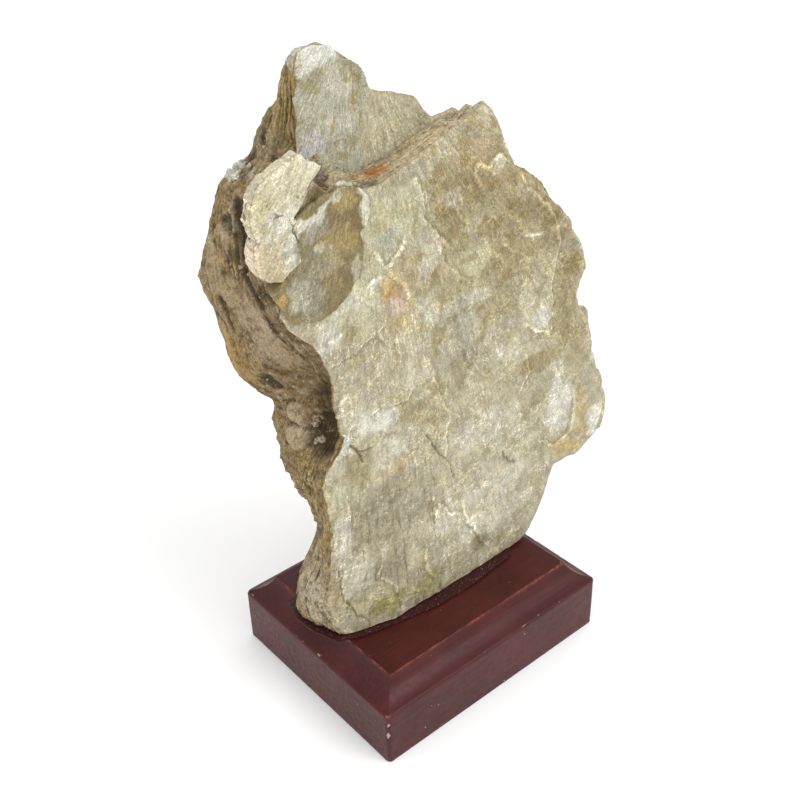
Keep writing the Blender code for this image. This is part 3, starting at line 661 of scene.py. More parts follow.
TONES = {
    "pale": (0.5, 0.475, 0.375), "pale_green": (0.4, 0.38, 0.25), "white": (0.52, 0.51, 0.44),
    "cream": (0.455, 0.415, 0.285), "straw": (0.45, 0.38, 0.24), "olive": (0.225, 0.183, 0.082),
    "olive_green": (0.24, 0.21, 0.075), "olive_grey": (0.215, 0.19, 0.118),
    "dark_olive": (0.145, 0.112, 0.042), "gold": (0.34, 0.262, 0.105), "brown": (0.145, 0.098, 0.036),
    "grey": (0.285, 0.28, 0.212), "lilac": (0.43, 0.41, 0.43), "pink": (0.44, 0.35, 0.27),
    "tan": (0.35, 0.258, 0.145), "shell": (0.4, 0.315, 0.2), "foot": (0.44, 0.38, 0.265),
    "orange": (0.36, 0.225, 0.07), "rust": (0.36, 0.15, 0.04), "dark": (0.05, 0.032, 0.017),
}

# Spots scattered on the torn edge: tone, strength, size, octaves, where the noise starts to show
EDGE_SPOTS = [("dark", 0.7, 5.0, 3, 0.3), ("dark", 0.55, 2.4, 2, 0.5), ("pale", 0.45, 3.0, 2, 0.6)]


def blend(tint, tone, share):
    """Moves the tint towards a tone by that share, held in 0..1."""
    tint += (np.array(TONES[tone]) - tint) * np.clip(share, 0, 1)[..., None]


def add_patches(tint, flat, rows, share):
    """Lays soft oval patches of tone on a tint. Their strength falls off with the distance from the
    middle, in half widths and half heights."""
    for tone, x, z, wide, high, turn, strength in rows:
        across, up = flat[:, 0] - x, flat[:, 1] - z
        cos, sin = math.cos(math.radians(turn)), math.sin(math.radians(turn))
        away = np.hypot((across * cos + up * sin) / wide, (up * cos - across * sin) / high)
        blend(tint, tone, strength * share * ease((1.25 - away) / 0.6))


def tint_of(points, masks, rows, settings):
    """Colour at each point (x, y, z): pearl with clouds and patches on the faces, brown with its own
    patches on the torn edges."""
    seed = settings.seed + 200
    torn, calm = masks["torn"], masks["calm"]
    warp = np.stack([noise(points, 6.0, seed, 3), 0 * torn, noise(points, 6.0, seed + 5, 3)], -1)
    fine = np.stack([noise(points, 2.0, seed + 6, 2), 0 * torn, noise(points, 2.0, seed + 7, 2)], -1)
    moved = points + 2.2 * warp + 1.1 * fine
    tint = np.array(settings.pearl) * (1 + 0.10 * noise(points, 18.0, seed + 9, 3)[:, None])
    blend(tint, "pale", 0.35 * ease(noise(points, 11.0, seed + 10, 3)))
    blend(tint, "olive", 0.40 * ease(-noise(points, 12.0, seed + 11, 3)))
    if rows:
        tone, strength, patches = rows
        blend(tint, tone, strength + 0 * torn)
        add_patches(tint, moved[:, [0, 2]], patches, 1.0)
    left = ease((-14 - points[:, 0]) / 20)
    right = ease((points[:, 0] - 10) / 30)
    weathered = torn * (0.5 + 0.5 * left - 0.2 * right)
    shade = 1 + 0.35 * (masks["tone"] - 0.5) * masks["paged"]
    shade = shade + 0.30 * noise(points, 5.0, seed + 20, 3)
    tint += (np.array(settings.torn) * np.clip(shade, 0.4, 1.8)[:, None] - tint) * weathered[:, None]
    blend(tint, "tan", torn * 0.7 * ease(0.25 + noise(points, 7.0, seed + 21, 3)))
    for draw, (tone, strength, size, octaves, start) in enumerate(EDGE_SPOTS, seed + 22):
        spots = ease(noise(points, size, draw, octaves) * 2 - start)
        blend(tint, tone, torn * left * (1 - calm) * strength * spots)
    blend(tint, "shell", calm * 0.6)
    for tone, centre, radii, strength in EDGE_TONES:
        blend(tint, tone, 1.15 * strength * torn * ease(1.3 - oval_distance(moved, centre, radii)))
    return np.clip(tint, 0.01, 1)


# ---- Meshes ----


def disc_grid(squares):
    """A square grid laid on a disc: the larger coordinate gives the distance from the middle, the
    smaller one the angle. Gives that distance, the angle, the grid's faces and its border."""
    steps = np.linspace(-1, 1, squares + 1)
    across, up = np.meshgrid(steps, steps, indexing="ij")
    sideways = np.abs(across) > np.abs(up)
    larger = np.where(sideways, across, up)
    smaller = np.where(sideways, up, across)
    turn = math.pi / 4 * smaller / np.where(larger == 0, 1, larger)
    angle = np.where(sideways, turn, math.pi / 2 - turn) + math.pi * (larger < 0)
    index = np.arange((squares + 1) ** 2).reshape(squares + 1, squares + 1)
    faces = np.stack([index[:-1, :-1], index[1:, :-1], index[1:, 1:], index[:-1, 1:]], -1)
    border = np.concatenate([index[:-1, 0], index[-1, :-1], index[:0:-1, -1], index[0, :0:-1]])
    return np.abs(larger).ravel(), angle.ravel(), faces.reshape(-1, 4), border


def strips(first, count, rows):
    """Faces between neighbouring rings of points, rings numbered one after another from first."""
    ring = first + np.arange(rows)[:, None] * count + np.arange(count)[None, :]
    following = np.roll(ring, -1, axis=1)
    return np.stack([ring[:-1], following[:-1], following[1:], ring[1:]], -1).reshape(-1, 4)


def outline_radius(angles, outline, centre):
    """Distance of an outline from a centre at each angle, straight between its points."""
    away = np.array(outline, float) - centre
    angle = np.arctan2(away[:, 1], away[:, 0])
    order = np.argsort(angle)
    held = np.hypot(away[:, 0], away[:, 1])[order]
    return np.interp(angles, angle[order], held, period=2 * math.pi)


def sheet_radius(angles, depth):
    """The sheets' outline at a depth, between those of the two key sheets about it. Along the crest
    the front sheets keep the outline of the crest, and those behind it the outline of the peak."""
    first, last, fading = np.radians(CREST)
    turn = angles % (2 * math.pi)
    at_crest = ease((turn - first) / fading) * ease((last - turn) / fading)
    held = min(depth, CREST_SHEET) if depth < CREASE_DEPTH else max(depth, PEAK_SHEET)
    return outline_at(angles, depth) * (1 - at_crest) + outline_at(angles, held) * at_crest


def outline_at(angles, depth):
    """The outline's distance at a depth, straight between the key sheets before and behind it."""
    keys = sorted(SHEETS)
    place = float(np.interp(depth, keys, np.arange(len(keys))))
    below = int(min(place, len(keys) - 2))
    near = outline_radius(angles, SHEETS[keys[below]], CENTRE)
    far = outline_radius(angles, SHEETS[keys[below + 1]], CENTRE)
    return near + (far - near) * (place - below)


def placed(angles, radius, centre):
    """The (x, z) points at those angles and distances from a centre."""
    return centre + np.stack([radius * np.cos(angles), radius * np.sin(angles)], -1)


def outward(points, faces):
    """Unit normal at each point: the sum of the normals of the faces about it."""
    corners = points[faces]
    normal = np.cross(corners[:, 2] - corners[:, 0], corners[:, 3] - corners[:, 1])
    total = np.zeros_like(points)
    for corner in range(4):
        for axis in range(3):
            total[:, axis] += np.bincount(faces[:, corner], normal[:, axis], len(points))
    return total / np.maximum(np.linalg.norm(total, axis=1, keepdims=True), 1e-12)


def smoothed(values, squares, times):
    """Values on a square grid, each mixed with its four neighbours, so many times."""
    grid = values.reshape(squares + 1, squares + 1).copy()
    for _ in range(times):
        padded = np.pad(grid, 1, mode="edge")
        around = padded[:-2, 1:-1] + padded[2:, 1:-1] + padded[1:-1, :-2] + padded[1:-1, 2:]
        grid = 0.5 * grid + 0.125 * around
    return grid.ravel()


def make_mesh(name, points, quads, triangles=None):
    """A mesh object from points in millimetres, four-sided faces and, if any, triangles."""
    mesh = bpy.data.meshes.new(name)
    loops = [quads.ravel()]
    sizes = [np.full(len(quads), 4)]
    if triangles is not None:
        loops.append(triangles.ravel())
        sizes.append(np.full(len(triangles), 3))
    loop = np.concatenate(loops).astype(np.int32)
    size = np.concatenate(sizes)
    mesh.vertices.add(len(points))
    mesh.vertices.foreach_set("co", (points * MM).astype(np.float32).ravel())
    mesh.loops.add(len(loop))
    mesh.loops.foreach_set("vertex_index", loop)
    mesh.polygons.add(len(size))
    starts = np.concatenate([[0], np.cumsum(size)[:-1]]).astype(np.int32)
    mesh.polygons.foreach_set("loop_start", starts)
    mesh.update(calc_edges=True)
    if mesh.validate():
        raise ValueError(f"{name} holds faulty faces")
    thing = bpy.data.objects.new(name, mesh)
    bpy.context.scene.collection.objects.link(thing)
    return thing


# How a mesh keeps values of one, two or three numbers: kind, field, filler for the last place
ATTRIBUTES = {1: ("FLOAT", "value", 0), 2: ("FLOAT_VECTOR", "vector", 0), 3: ("FLOAT_COLOR", "color", 1)}


def store(thing, **values):
    """Puts values on the mesh's points as attributes: numbers, or colours where there are three."""
    for name, held in values.items():
        width = 1 if held.ndim == 1 else held.shape[1]
        kind, field, filler = ATTRIBUTES[width]
        if width > 1:
            held = np.pad(held, ((0, 0), (0, 1)), constant_values=filler)
        layer = thing.data.attributes.new(name, kind, "POINT")
        layer.data.foreach_set(field, held.astype(np.float32).ravel())


def hand_over(thing, node):
    """Smooth-shades a finished piece and lets it stand in for its part of the crystal or stand."""
    if thing.name != "mica_chips":
        thing.data.shade_smooth()
    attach(thing, "root")
    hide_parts(node)


# ---- Crystal ----

INNER_SHARES = (0.985, 0.95, 0.88, 0.76, 0.5)  # rings drawn in towards the middle of a plain side
RING_SHARES = ((0.06, 0.35), (0.35, 0.0), (0.78, 0.0), (0.97, 1.0))  # place in a page, groove


STORED_MASKS = ("groove", "low", "calm", "paged", "rim", "crack_and_foot_shade")
LUMPS, SWAY = 401, 404  # starts of the draws that all books share, so that lumps run across pages


def page_depths(first, last, mean, rng):
    """Depths at which the pages of a book part, unevenly spaced about a mean thickness."""
    count = max(2, round((last - first) / mean))
    thickness = rng.uniform(0.45, 1.6, count)
    return first + np.concatenate([[0], np.cumsum(thickness)]) * (last - first) / thickness.sum()


def hollow_depth(points):
    """How far the torn edge is broken in at each point, by the deepest hollow there."""
    found = np.zeros(points.shape[:-1])
    for centre, radii, depth in HOLLOWS:
        found = np.maximum(found, depth * ease((1.3 - oval_distance(points, centre, radii)) / 0.7))
    return found


def edge_lines(points):
    """The shells, ridges and grooves along the torn edge: how smooth it is, how far it stands out
    and how deep in a groove it lies. Each is full within its radius of a straight stretch."""
    calm, lift, groove = (np.zeros(points.shape[:-1]) for _ in range(3))
    for start, end, radius, rise in EDGE_LINES:
        run = np.subtract(end, start)
        away = points - start
        along = np.clip((away @ run) / (run @ run), 0, 1)
        distance = np.linalg.norm(away - along[..., None] * run, axis=-1)
        here = ease((1.15 - distance / radius) / 0.4)
        lift += rise * here
        if rise > 0:
            calm = np.maximum(calm, here)
        else:
            groove = np.maximum(groove, here)
    return calm * (1 - groove), lift, groove


def paged_share(points):
    """How clearly the pages part: a little on the left side, more on the others and in some places."""
    share = 0.3 + 0.4 * ease((points[..., 0] + 34) / 30)
    share -= 0.35 * ease((points[..., 2] - 183) / 4) * ease((points[..., 0] + 38) / 6)
    for centre, radii in PAGED:
        share = np.maximum(share, ease(1.3 - oval_distance(points, centre, radii)))
    return share


def spread_out(values, times):
    """Values on rings, each mixed with its neighbours along the ring and on the rings beside it."""
    held = values.copy()
    for _ in range(times):
        padded = np.pad(held, ((1, 1), (0, 0)), mode="edge")
        around = padded[:-2] + padded[2:] + np.roll(held, 2, axis=1) + np.roll(held, -2, axis=1)
        held = 0.4 * held + 0.15 * around
    return held


def torn_rings(angles, first, last, settings, rng):
    """Rings of points (x, y, z) down a torn book edge, each page starting from the sheet outline at
    its depth. Out from it go the page's own ragged noise, lumps that neighbouring pages share and
    smooth shells; in go hollows, cracks and the groove that parts it from the next page. Gives the
    points and their masks: page tone, groove, how low each lies, how calm, how clearly paged."""
    parting = page_depths(first, last, settings.page / MM, rng)
    place = placed(angles, 60.0 + 0 * angles, 0)
    depths, radii, owns, tones, grooves = [], [], [], [], []
    for start, end in zip(parting[:-1], parting[1:]):
        thick = end - start
        radius = sheet_radius(angles, (start + end) / 2)
        draw = int(rng.integers(1, 10**6))
        own = noise(place, 8.0, draw, 3) + 0.5 * noise(place, 1.8, draw + 3, 2)
        tone = rng.uniform() + 0.3 * noise(place, 9.0, draw + 12, 2)
        parted = min(0.55, 0.4 * thick) * (0.5 + 0.5 * rng.uniform())
        for share, dark in RING_SHARES:
            depths.append(np.full(len(angles), start + share * thick))
            radii.append(radius)
            owns.append(own - parted * dark)
            tones.append(tone)
            grooves.append(np.full(len(angles), dark))
    flat = placed(angles[None, :], np.array(radii), CENTRE)
    points = np.stack([flat[..., 0], np.array(depths), flat[..., 1]], -1)
    left = ease((-0.1 - np.cos(angles)) / 0.5) * ease((-33 - flat[..., 0]) / 6)
    calm, lift, cracks = edge_lines(points)
    sink = hollow_depth(points)
    paged = paged_share(points) * (1 - calm)
    lumps = 1.2 * noise(points, (9.0, 6.0, 9.0), LUMPS, 3)
    lumps += 0.7 * noise(points, (3.2, 2.4, 3.2), LUMPS + 1, 2)
    lumps += 0.22 * noise(points, 1.3, LUMPS + 4, 2)
    out = settings.ragged / MM * np.array(owns) * paged
    out += (0.25 + 0.8 * left) * lumps * (1 - 0.7 * calm) + lift - sink
    points[..., [0, 2]] += out[..., None] * np.stack([np.cos(angles), np.sin(angles)], -1)
    # The groove mask carries painted shade between the pages, in hollows and in grooves; low gives painted
    # shade where a point lies below its neighbours, and a painted highlight where above
    return points, {
        "torn": np.ones(out.shape),
        "tone": np.array(tones),
        "groove": np.clip(np.array(grooves) * paged + sink / 6 + cracks, 0, 1),
        "low": np.clip((spread_out(out, 8) - out) / 0.8, -1, 1),
        "calm": calm,
        "paged": paged,
    }


def closed_body(rings, centre, toward, face=None, quads=None, border=None):
    """Closes rings of points, first at the near side, into one body: the far side, and the near one
    unless it has a face, by rings drawn in towards a middle point. Gives the points, the four-sided
    faces, the triangles, and which points are the face's and which the rings'."""
    count = rings.shape[1]
    ring = np.arange(count)
    following = np.roll(ring, -1)
    far, far_middle = inner_rings(rings[-1], centre)
    if face is None:
        near, near_middle = inner_rings(rings[0], centre)
        start, every = 0, np.concatenate([near[::-1], rings, far])
        ends = [near_middle, far_middle]
        lid = np.zeros((0, 4), int)
        face_count, rows_before = 0, len(near)
    else:
        start, every, ends = len(face), np.concatenate([rings, far]), [far_middle]
        lid = np.stack([border, np.roll(border, -1), start + following, start + ring], -1)
        face_count, rows_before = len(face), 0
    body = every.reshape(-1, 3)
    points = np.concatenate([body if face is None else np.concatenate([face, body]), ends])
    walls = strips(start, count, len(every))
    last = start + (len(every) - 1) * count + ring
    fans = [np.stack([last, np.roll(last, -1), np.full(count, len(points) - 1)], -1)]
    if face is None:
        fans.append(np.stack([following, ring, np.full(count, len(points) - 2)], -1))
    else:
        walls = np.concatenate([quads[:, ::-1], lid, walls])
    triangles = np.concatenate(fans)
    if toward < 0:
        walls, triangles = walls[:, ::-1], triangles[:, ::-1]
    of_rings = start + rows_before * count + np.arange(len(rings) * count)
    return points, walls, triangles, np.arange(face_count), of_rings


def inner_rings(rim, centre):
    """Rings drawn in from a rim towards the middle of a plain side, and that middle."""
    middle = np.array([centre[0], rim[:, 1].mean(), centre[1]])
    return np.array([middle + (rim - middle) * share for share in INNER_SHARES]), middle


def book_draws(first, settings):
    """A book's own random draws, started from its first depth."""
    return np.random.default_rng(settings.seed + int(first * 10 + 500))


def make_book(name, first, last, squares, faced, settings):
    """A stack of sheets with one finished broad side: a disc grid scaled to the outline, with
    relief. Rings of points follow the torn edge behind it."""
    rng = book_draws(first, settings)
    share, angle, quads, border = disc_grid(squares)
    toward = -1 if faced == "front" else 1
    face_depth = first if toward < 0 else last
    round_angles = angle[border]
    rings, masks = torn_rings(round_angles, first, last, settings, rng)
    if toward > 0:
        rings, masks = rings[::-1], {key: held[::-1] for key, held in masks.items()}
    outline = sheet_radius(angle, face_depth)
    rim_radius = np.hypot(rings[1, :, 0] - CENTRE[0], rings[1, :, 2] - CENTRE[1]) - 0.05
    rim = np.interp(angle, round_angles, rim_radius, period=2 * math.pi)
    flat = placed(angle, share * (outline + (rim - outline) * ease((share - 0.8) / 0.2)), CENTRE)
    if toward < 0:
        proud, edges, dark = front_relief(flat, settings.seed)
    else:
        proud, edges, dark = face_relief(flat, settings.seed + 60), 0 * share, 0 * share
    proud = settings.relief * proud
    face_y = face_depth + toward * (proud - 0.5 * ease((share - 0.985) / 0.015))
    wave = 0.9 * noise(rings, (16.0, 12.0, 20.0), SWAY, 2)
    away = np.linspace(1.0, 0.0, len(rings))[:, None]
    rings[..., 1] += wave * (1 - away) * ease(away / 0.35) + (face_y[border] - face_depth) * away**3
    nearer = face_y[border] - toward * 0.05
    rings[..., 1] = (np.maximum if toward < 0 else np.minimum)(rings[..., 1], nearer)
    face = np.stack([flat[:, 0], face_y, flat[:, 1]], -1)
    body = closed_body(rings, CENTRE, toward, face, quads, border)
    # The face's dips take painted shade, the borders' rims a painted highlight, and the mask of cracks also
    # the painted shade at the borders' feet
    hollow = smoothed(face_y * toward, squares, 6) - face_y * toward
    face_masks = {"torn": ease((share - 0.99) / 0.01) * 0.6, "low": np.clip(hollow / 0.2, -1, 1),
                  "rim": edges, "crack_and_foot_shade": dark}
    dress(name, body, masks, face_masks, settings, ("pale", 0.0, FACE_TONES) if toward < 0 else None)


def make_inner_book(name, first, last, count, settings):
    """A stack of sheets with both broad sides plain, for the middle of the crystal."""
    rng = book_draws(first, settings)
    angles = np.linspace(0, 2 * math.pi, count, endpoint=False)
    rings, masks = torn_rings(angles, first, last, settings, rng)
    wave = 0.9 * noise(rings, (16.0, 12.0, 20.0), SWAY, 2)
    away = np.linspace(0.0, 1.0, len(rings))[:, None]
    rings[..., 1] += wave * ease(np.minimum(away, 1 - away) / 0.35)
    dress(name, closed_body(rings, CENTRE, -1), masks, {}, settings, None)


def dress(name, body, ring_masks, face_masks, settings, rows):
    """Makes a crystal piece from its points and faces and gives it its tint, masks and grain. It is
    bent at the foot, kept above the stand and inside the crystal's box. Faces whose points are
    torn take the second material."""
    points, quads, triangles, of_face, of_rings = body
    masks = {key: np.zeros(len(points)) for key in ("torn", "tone", *STORED_MASKS)}
    masks["tone"] += 0.5
    masks["torn"][(points[:, 0] < -36) & (points[:, 2] < 193)] = 0.8
    if len(of_face):
        masks["torn"][of_face] = 0.0
    for key, held in ring_masks.items():
        masks[key][of_rings] = held.ravel()
    for key, held in face_masks.items():
        masks[key][of_face] = held
    points[:, 1] += bend_back(points[:, [0, 2]])
    points[:, 2] = np.maximum(points[:, 2], FOOT_Z)
    points = np.clip(points, CRYSTAL_BOX[0], CRYSTAL_BOX[1])
    thing = make_mesh(name, points, quads, triangles)
    flat = points[:, [0, 2]]
    normals = outward(points, quads)
    crumple = crumple_share(flat) * ease((-4 - points[:, 1]) / 4)
    store(
        thing,
        tint=tint_of(points, masks, rows, settings),
        # A painted highlight on the faces' steep parts, where the sheets step down
        ledge=ease((1 - np.abs(normals[:, 1]) - 0.03) / 0.25) * (1 - masks["torn"]),
        fibre=fibre_share(flat) * ease((-4 - points[:, 1]) / 4),
        crumple=crumple if name != "peak_plate" else 1 + 0 * crumple,
        grain=grain(flat),
        **{key: masks[key] for key in STORED_MASKS},
    )
    for material in mica_materials():
        thing.data.materials.append(material)
    slots = np.concatenate([masks["torn"][quads].mean(1), masks["torn"][triangles].mean(1)]) > 0.5
    thing.data.polygons.foreach_set("material_index", slots.astype(np.int32))
    hand_over(thing, "mica_crystal")


def make_plate(name, front, back, lean, squares, rounding, relief, outline, toward, settings):
    """A sheet of its own: a disc grid scaled to a ragged outline, with relief and a leaning front,
    its rim rounded over, and rings down its sides that draw in a little towards the far face."""
    seed = settings.seed + sum(map(ord, name))
    share, angle, quads, border = disc_grid(squares)
    centre = np.mean(outline, axis=0)
    ragged = noise(placed(angle, 30.0 + 0 * angle, 0), 3.5, seed, 3)
    radius = outline_radius(angle, outline, centre) + (0.3 if toward < 0 else 1.3) * ragged
    flat = placed(angle, share * radius, centre)
    height = relief * face_relief(flat, seed + 9)
    lines = wrinkle_lines(flat, 4.0, (3.0, 4.2), seed + 3, 0.12)
    height += relief * 0.16 * lines + relief * 0.12 * noise(flat, 2.2, seed + 6, 2)
    if rounding > 1:
        height += 0.25 * noise(flat, 5.0, seed + 10, 3) + 0.7 * noise(flat, 14.0, seed + 11)
    inside = inside_distance(flat, outline)
    over = rounding * (1 - np.sqrt(np.clip(1 - (1 - np.clip(inside / rounding, 0, 1)) ** 2, 0, 1)))
    near_depth, far_depth = (front, back) if toward < 0 else (back, front)
    near = near_depth + toward * (height - over - lean * (flat[:, 0] - centre[0]))
    near = np.minimum(near, far_depth - 0.5) if toward < 0 else np.maximum(near, far_depth + 0.5)
    rim = flat[border]
    pulled = (rim - centre) / np.linalg.norm(rim - centre, axis=1, keepdims=True)
    rings = []
    for number, step in enumerate(np.linspace(0, 1, max(4, round(abs(back - front) / 0.4)))[1:]):
        depth = near[border] + (far_depth - near[border]) * step
        wander = 0.3 * noise(placed(angle[border], 30.0 + 0 * angle[border], 0), 5.0, seed + number, 3)
        wander += 0.5 * noise(np.stack([rim[:, 0], depth, rim[:, 1]], -1), 4.0, seed + 90, 2)
        wander += -0.15 * (number % 2) - 0.7 * step
        out = rim + pulled * wander[:, None]
        rings.append(np.stack([out[:, 0], depth, out[:, 1]], -1))
    rings = np.array(rings)
    face = np.stack([flat[:, 0], near, flat[:, 1]], -1)
    # The face's dips take painted shade, and every other ring down the sides the groove's painted shade, as
    # between sheets
    hollow = smoothed(near * toward, squares, 6) - near * toward
    sides = np.zeros(rings.shape[:2])
    masks = {"torn": sides + (0.0 if toward < 0 else 0.8), "paged": sides + 0.5,
             "groove": sides + 0.2 * (np.arange(len(rings)) % 2)[:, None]}
    body = closed_body(rings, centre, toward, face, quads, border)
    low = {"low": np.clip(hollow / 0.2, -1, 1)}
    dress(name, body, masks, low, settings, PLATE_TONES.get(name))


CHIPPED_BOOKS = ("front_sheets", "torn_book", "middle_book", "back_book")
BALL_ROUND, BALL_ROWS = 9, 5  # points round a chip, and rows of them between its two poles


def make_chips(settings):
    """Chips and grains stuck to the torn edge: each a coarse ball with flattened, uneven sides, sunk
    by half into the nearest surface."""
    rng = np.random.default_rng(settings.seed + 950)
    places, sizes, tones = [], [], []
    for centre, reach, count, size, tone in CHIPS:
        places += [np.array(centre) + rng.normal(0, 0.5, 3) * reach for _ in range(count)]
        sizes += list(size * rng.uniform(0.6, 1.2, count))
        tones += [TONES[tone]] * count
    places, sizes = np.array(places), np.array(sizes)
    surface = np.concatenate([points_of(name) for name in CHIPPED_BOOKS])
    found = np.array([surface[np.argmin(((surface - place) ** 2).sum(1))] for place in places])
    lap = np.linspace(0, 2 * math.pi, BALL_ROUND, endpoint=False)
    rise = np.linspace(-math.pi / 2, math.pi / 2, BALL_ROWS + 2)[1:-1]
    ball = np.stack([
        (np.cos(rise)[:, None] * np.cos(lap)).ravel(), (np.cos(rise)[:, None] * np.sin(lap)).ravel(),
        np.repeat(np.sin(rise), BALL_ROUND),
    ], -1)
    ball = np.concatenate([ball, [(0, 0, -1), (0, 0, 1)]])
    pulls = rng.uniform(0.45, 1.2, (len(found), 3))
    bumps = noise(ball[None] * 1.3 + np.arange(len(found))[:, None, None] * 7.3, 1.0, 55, 2)
    shapes = ball[None] * pulls[:, None] * sizes[:, None, None] * (1 + 0.55 * bumps[..., None])
    points = (found[:, None] + shapes).reshape(-1, 3)
    stride = len(ball)
    base = np.arange(len(found))[:, None, None] * stride
    ring = np.arange(BALL_ROUND)
    following = np.roll(ring, -1)
    top = (BALL_ROWS - 1) * BALL_ROUND
    caps = np.concatenate([
        np.stack([following, ring, np.full(BALL_ROUND, stride - 2)], -1),
        np.stack([top + ring, top + following, np.full(BALL_ROUND, stride - 1)], -1),
    ])
    points = np.clip(points, CRYSTAL_BOX[0], CRYSTAL_BOX[1])
    quads = (base + strips(0, BALL_ROUND, BALL_ROWS)).reshape(-1, 4)
    thing = make_mesh("mica_chips", points, quads, (base + caps).reshape(-1, 3))
    thing.data.shade_flat()
    shade = np.repeat(rng.uniform(0.75, 1.1, len(found)), stride)[:, None]
    store(thing, tint=np.repeat(np.array(tones), stride, axis=0) * shade, grain=grain(points[:, [0, 2]]))
    thing.data.materials.append(mica_materials()[0])
    hand_over(thing, "mica_crystal")


def points_of(name):
    """The points of a piece made before, in millimetres."""
    mesh = bpy.data.objects[name].data
    held = np.empty(3 * len(mesh.vertices), np.float32)
    mesh.vertices.foreach_get("co", held)
    return held.reshape(-1, 3).astype(float) / MM


# ---- Stand ----


STAND_SIDE_POINTS = (110, 90)  # between the corners, along the stand and across it
STAND_CORNER_STEPS = 8
COVE_START = math.radians(12)  # the moulding's slope at its outer edge, above level


def loop_of(half_length, half_width, radius, corner_steps):
    """Points round a rectangle with rounded corners, anticlockwise from the corner at +X and +Y."""
    quarter = np.linspace(0, math.pi / 2, corner_steps + 1)
    turned = []
    for number, (x, y) in enumerate(((1, 1), (-1, 1), (-1, -1), (1, -1))):
        angle = quarter + number * math.pi / 2
        centre = np.array([x * (half_length - radius), y * (half_width - radius)])
        turned.append(centre + radius * np.stack([np.cos(angle), np.sin(angle)], -1))
    points = []
    for number, corner in enumerate(turned):
        points.append(corner)
        following = turned[(number + 1) % 4]
        side = STAND_SIDE_POINTS[number % 2]
        share = np.linspace(0, 1, side + 2)[1:-1, None]
        points.append(corner[-1] * (1 - share) + following[0] * share)
    return np.concatenate(points)


def stand_profile(settings):
    """The stand's section as inset from the side and height: a broken lower edge, the side, a
    rounded shoulder, the hollow moulding (an arc that steepens inwards), a crisp arris, the top."""
    side = settings.side_height / MM
    width = settings.moulding / MM
    rise = PLATEAU_Z - side
    slope = math.atan2(rise, width)
    start, end = COVE_START, 2 * slope - COVE_START
    radius = width / (math.sin(end) - math.sin(start))
    angles = np.linspace(start, end, 15)
    inset = radius * (np.sin(angles) - math.sin(start))
    height = side + radius * (math.cos(start) - np.cos(angles))
    lower = [(1.2, 0.0), (0.5, 0.05), (0.12, 0.3), (0.0, 0.8)]
    upright = [(0.0, level) for level in np.linspace(2, side - 1.0, 20)]
    shoulder = [(0.04, side - 0.42), (0.2, side - 0.1), (0.55, side + 0.12)]
    moulding = list(zip(inset[1:-1], height[1:-1]))
    arris = [(width - 0.22, PLATEAU_Z - 0.24), (width - 0.05, PLATEAU_Z - 0.06), (width + 0.22, PLATEAU_Z)]
    level = [(width + step, PLATEAU_Z) for step in (0.6, 1.5, 3, 5, 8, 12, 16, 20, 24, 28)]
    return np.array(lower + upright + shoulder + moulding + arris + level)


def make_stand(settings):
    """The section carried round the rounded rectangle, inset by inset, and closed above and below by
    a flat face. Wear rounds the arrises by noise, and chips nick the upright corners."""
    half = np.array([STAND_HIGH.x, STAND_HIGH.y]) / MM
    corner = settings.corner / MM
    section = stand_profile(settings)
    rings = []
    for inset, height in section:
        radius = max(corner - inset, 0.3)
        ring = loop_of(half[0] - inset, half[1] - inset, radius, STAND_CORNER_STEPS)
        rings.append(np.column_stack([ring, np.full(len(ring), height)]))
    count = len(rings[0])
    points = np.concatenate(rings)
    flat = points[:, :2]
    at_corner = np.abs(np.abs(flat) - half).max(axis=1)
    upright = ease(1 - at_corner / 2.5) * (points[:, 2] < settings.side_height / MM + 0.2)
    heights = np.repeat(section[:, 1], count)
    insets = np.repeat(section[:, 0], count)
    width = settings.moulding / MM
    at_arris = np.exp(-((insets - width) / 0.35) ** 2)
    at_shoulder = np.exp(-((heights - settings.side_height / MM) / 0.5) ** 2) * (insets < 0.8)
    rubbed = np.clip(0.5 + 0.9 * noise(points, 6.0, 301, 3), 0, 1)
    worn = at_arris * (0.45 + 0.55 * rubbed) + at_shoulder * rubbed * 0.35 + upright * rubbed * 0.6
    wear = np.clip(worn, 0, 1)
    chips = ease(noise(points, 2.2, 305, 2) * 2.4 - 0.9) * np.maximum(upright, 0.6 * at_shoulder)
    inward = -flat / np.linalg.norm(flat, axis=1, keepdims=True)
    drawn = 0.12 * wear + 0.45 * chips
    points[:, :2] += inward * drawn[:, None]
    points[:, 2] = np.maximum(points[:, 2] - 0.05 * wear * (insets > 1), 0)
    points[:, :2] += inward * (0.05 * (1 + noise(points, 30.0, 309, 2)))[:, None] * (points[:, 2:3] > 0.5)
    quads = strips(0, count, len(section))
    thing = make_mesh("lacquered_stand", points, quads)
    mesh = thing.data
    close_ring(mesh, np.arange(count)[::-1], np.arange(count) + (len(section) - 1) * count)
    store(thing, wear=np.clip(wear + chips, 0, 1), chip=np.clip(chips, 0, 1))
    mesh.materials.append(new_material("lacquer_over_wood", lacquer_finish, settings))
    hand_over(thing, "wooden_base")
    mesh.set_sharp_from_angle(angle=math.radians(40))


def close_ring(mesh, *rings):
    """Adds one flat face over each ring of points."""
    shape = bmesh.new()
    shape.from_mesh(mesh)
    shape.verts.ensure_lookup_table()
    for ring in rings:
        shape.faces.new([shape.verts[int(number)] for number in ring])
    shape.to_mesh(mesh)
    shape.free()


# ---- Materials ----

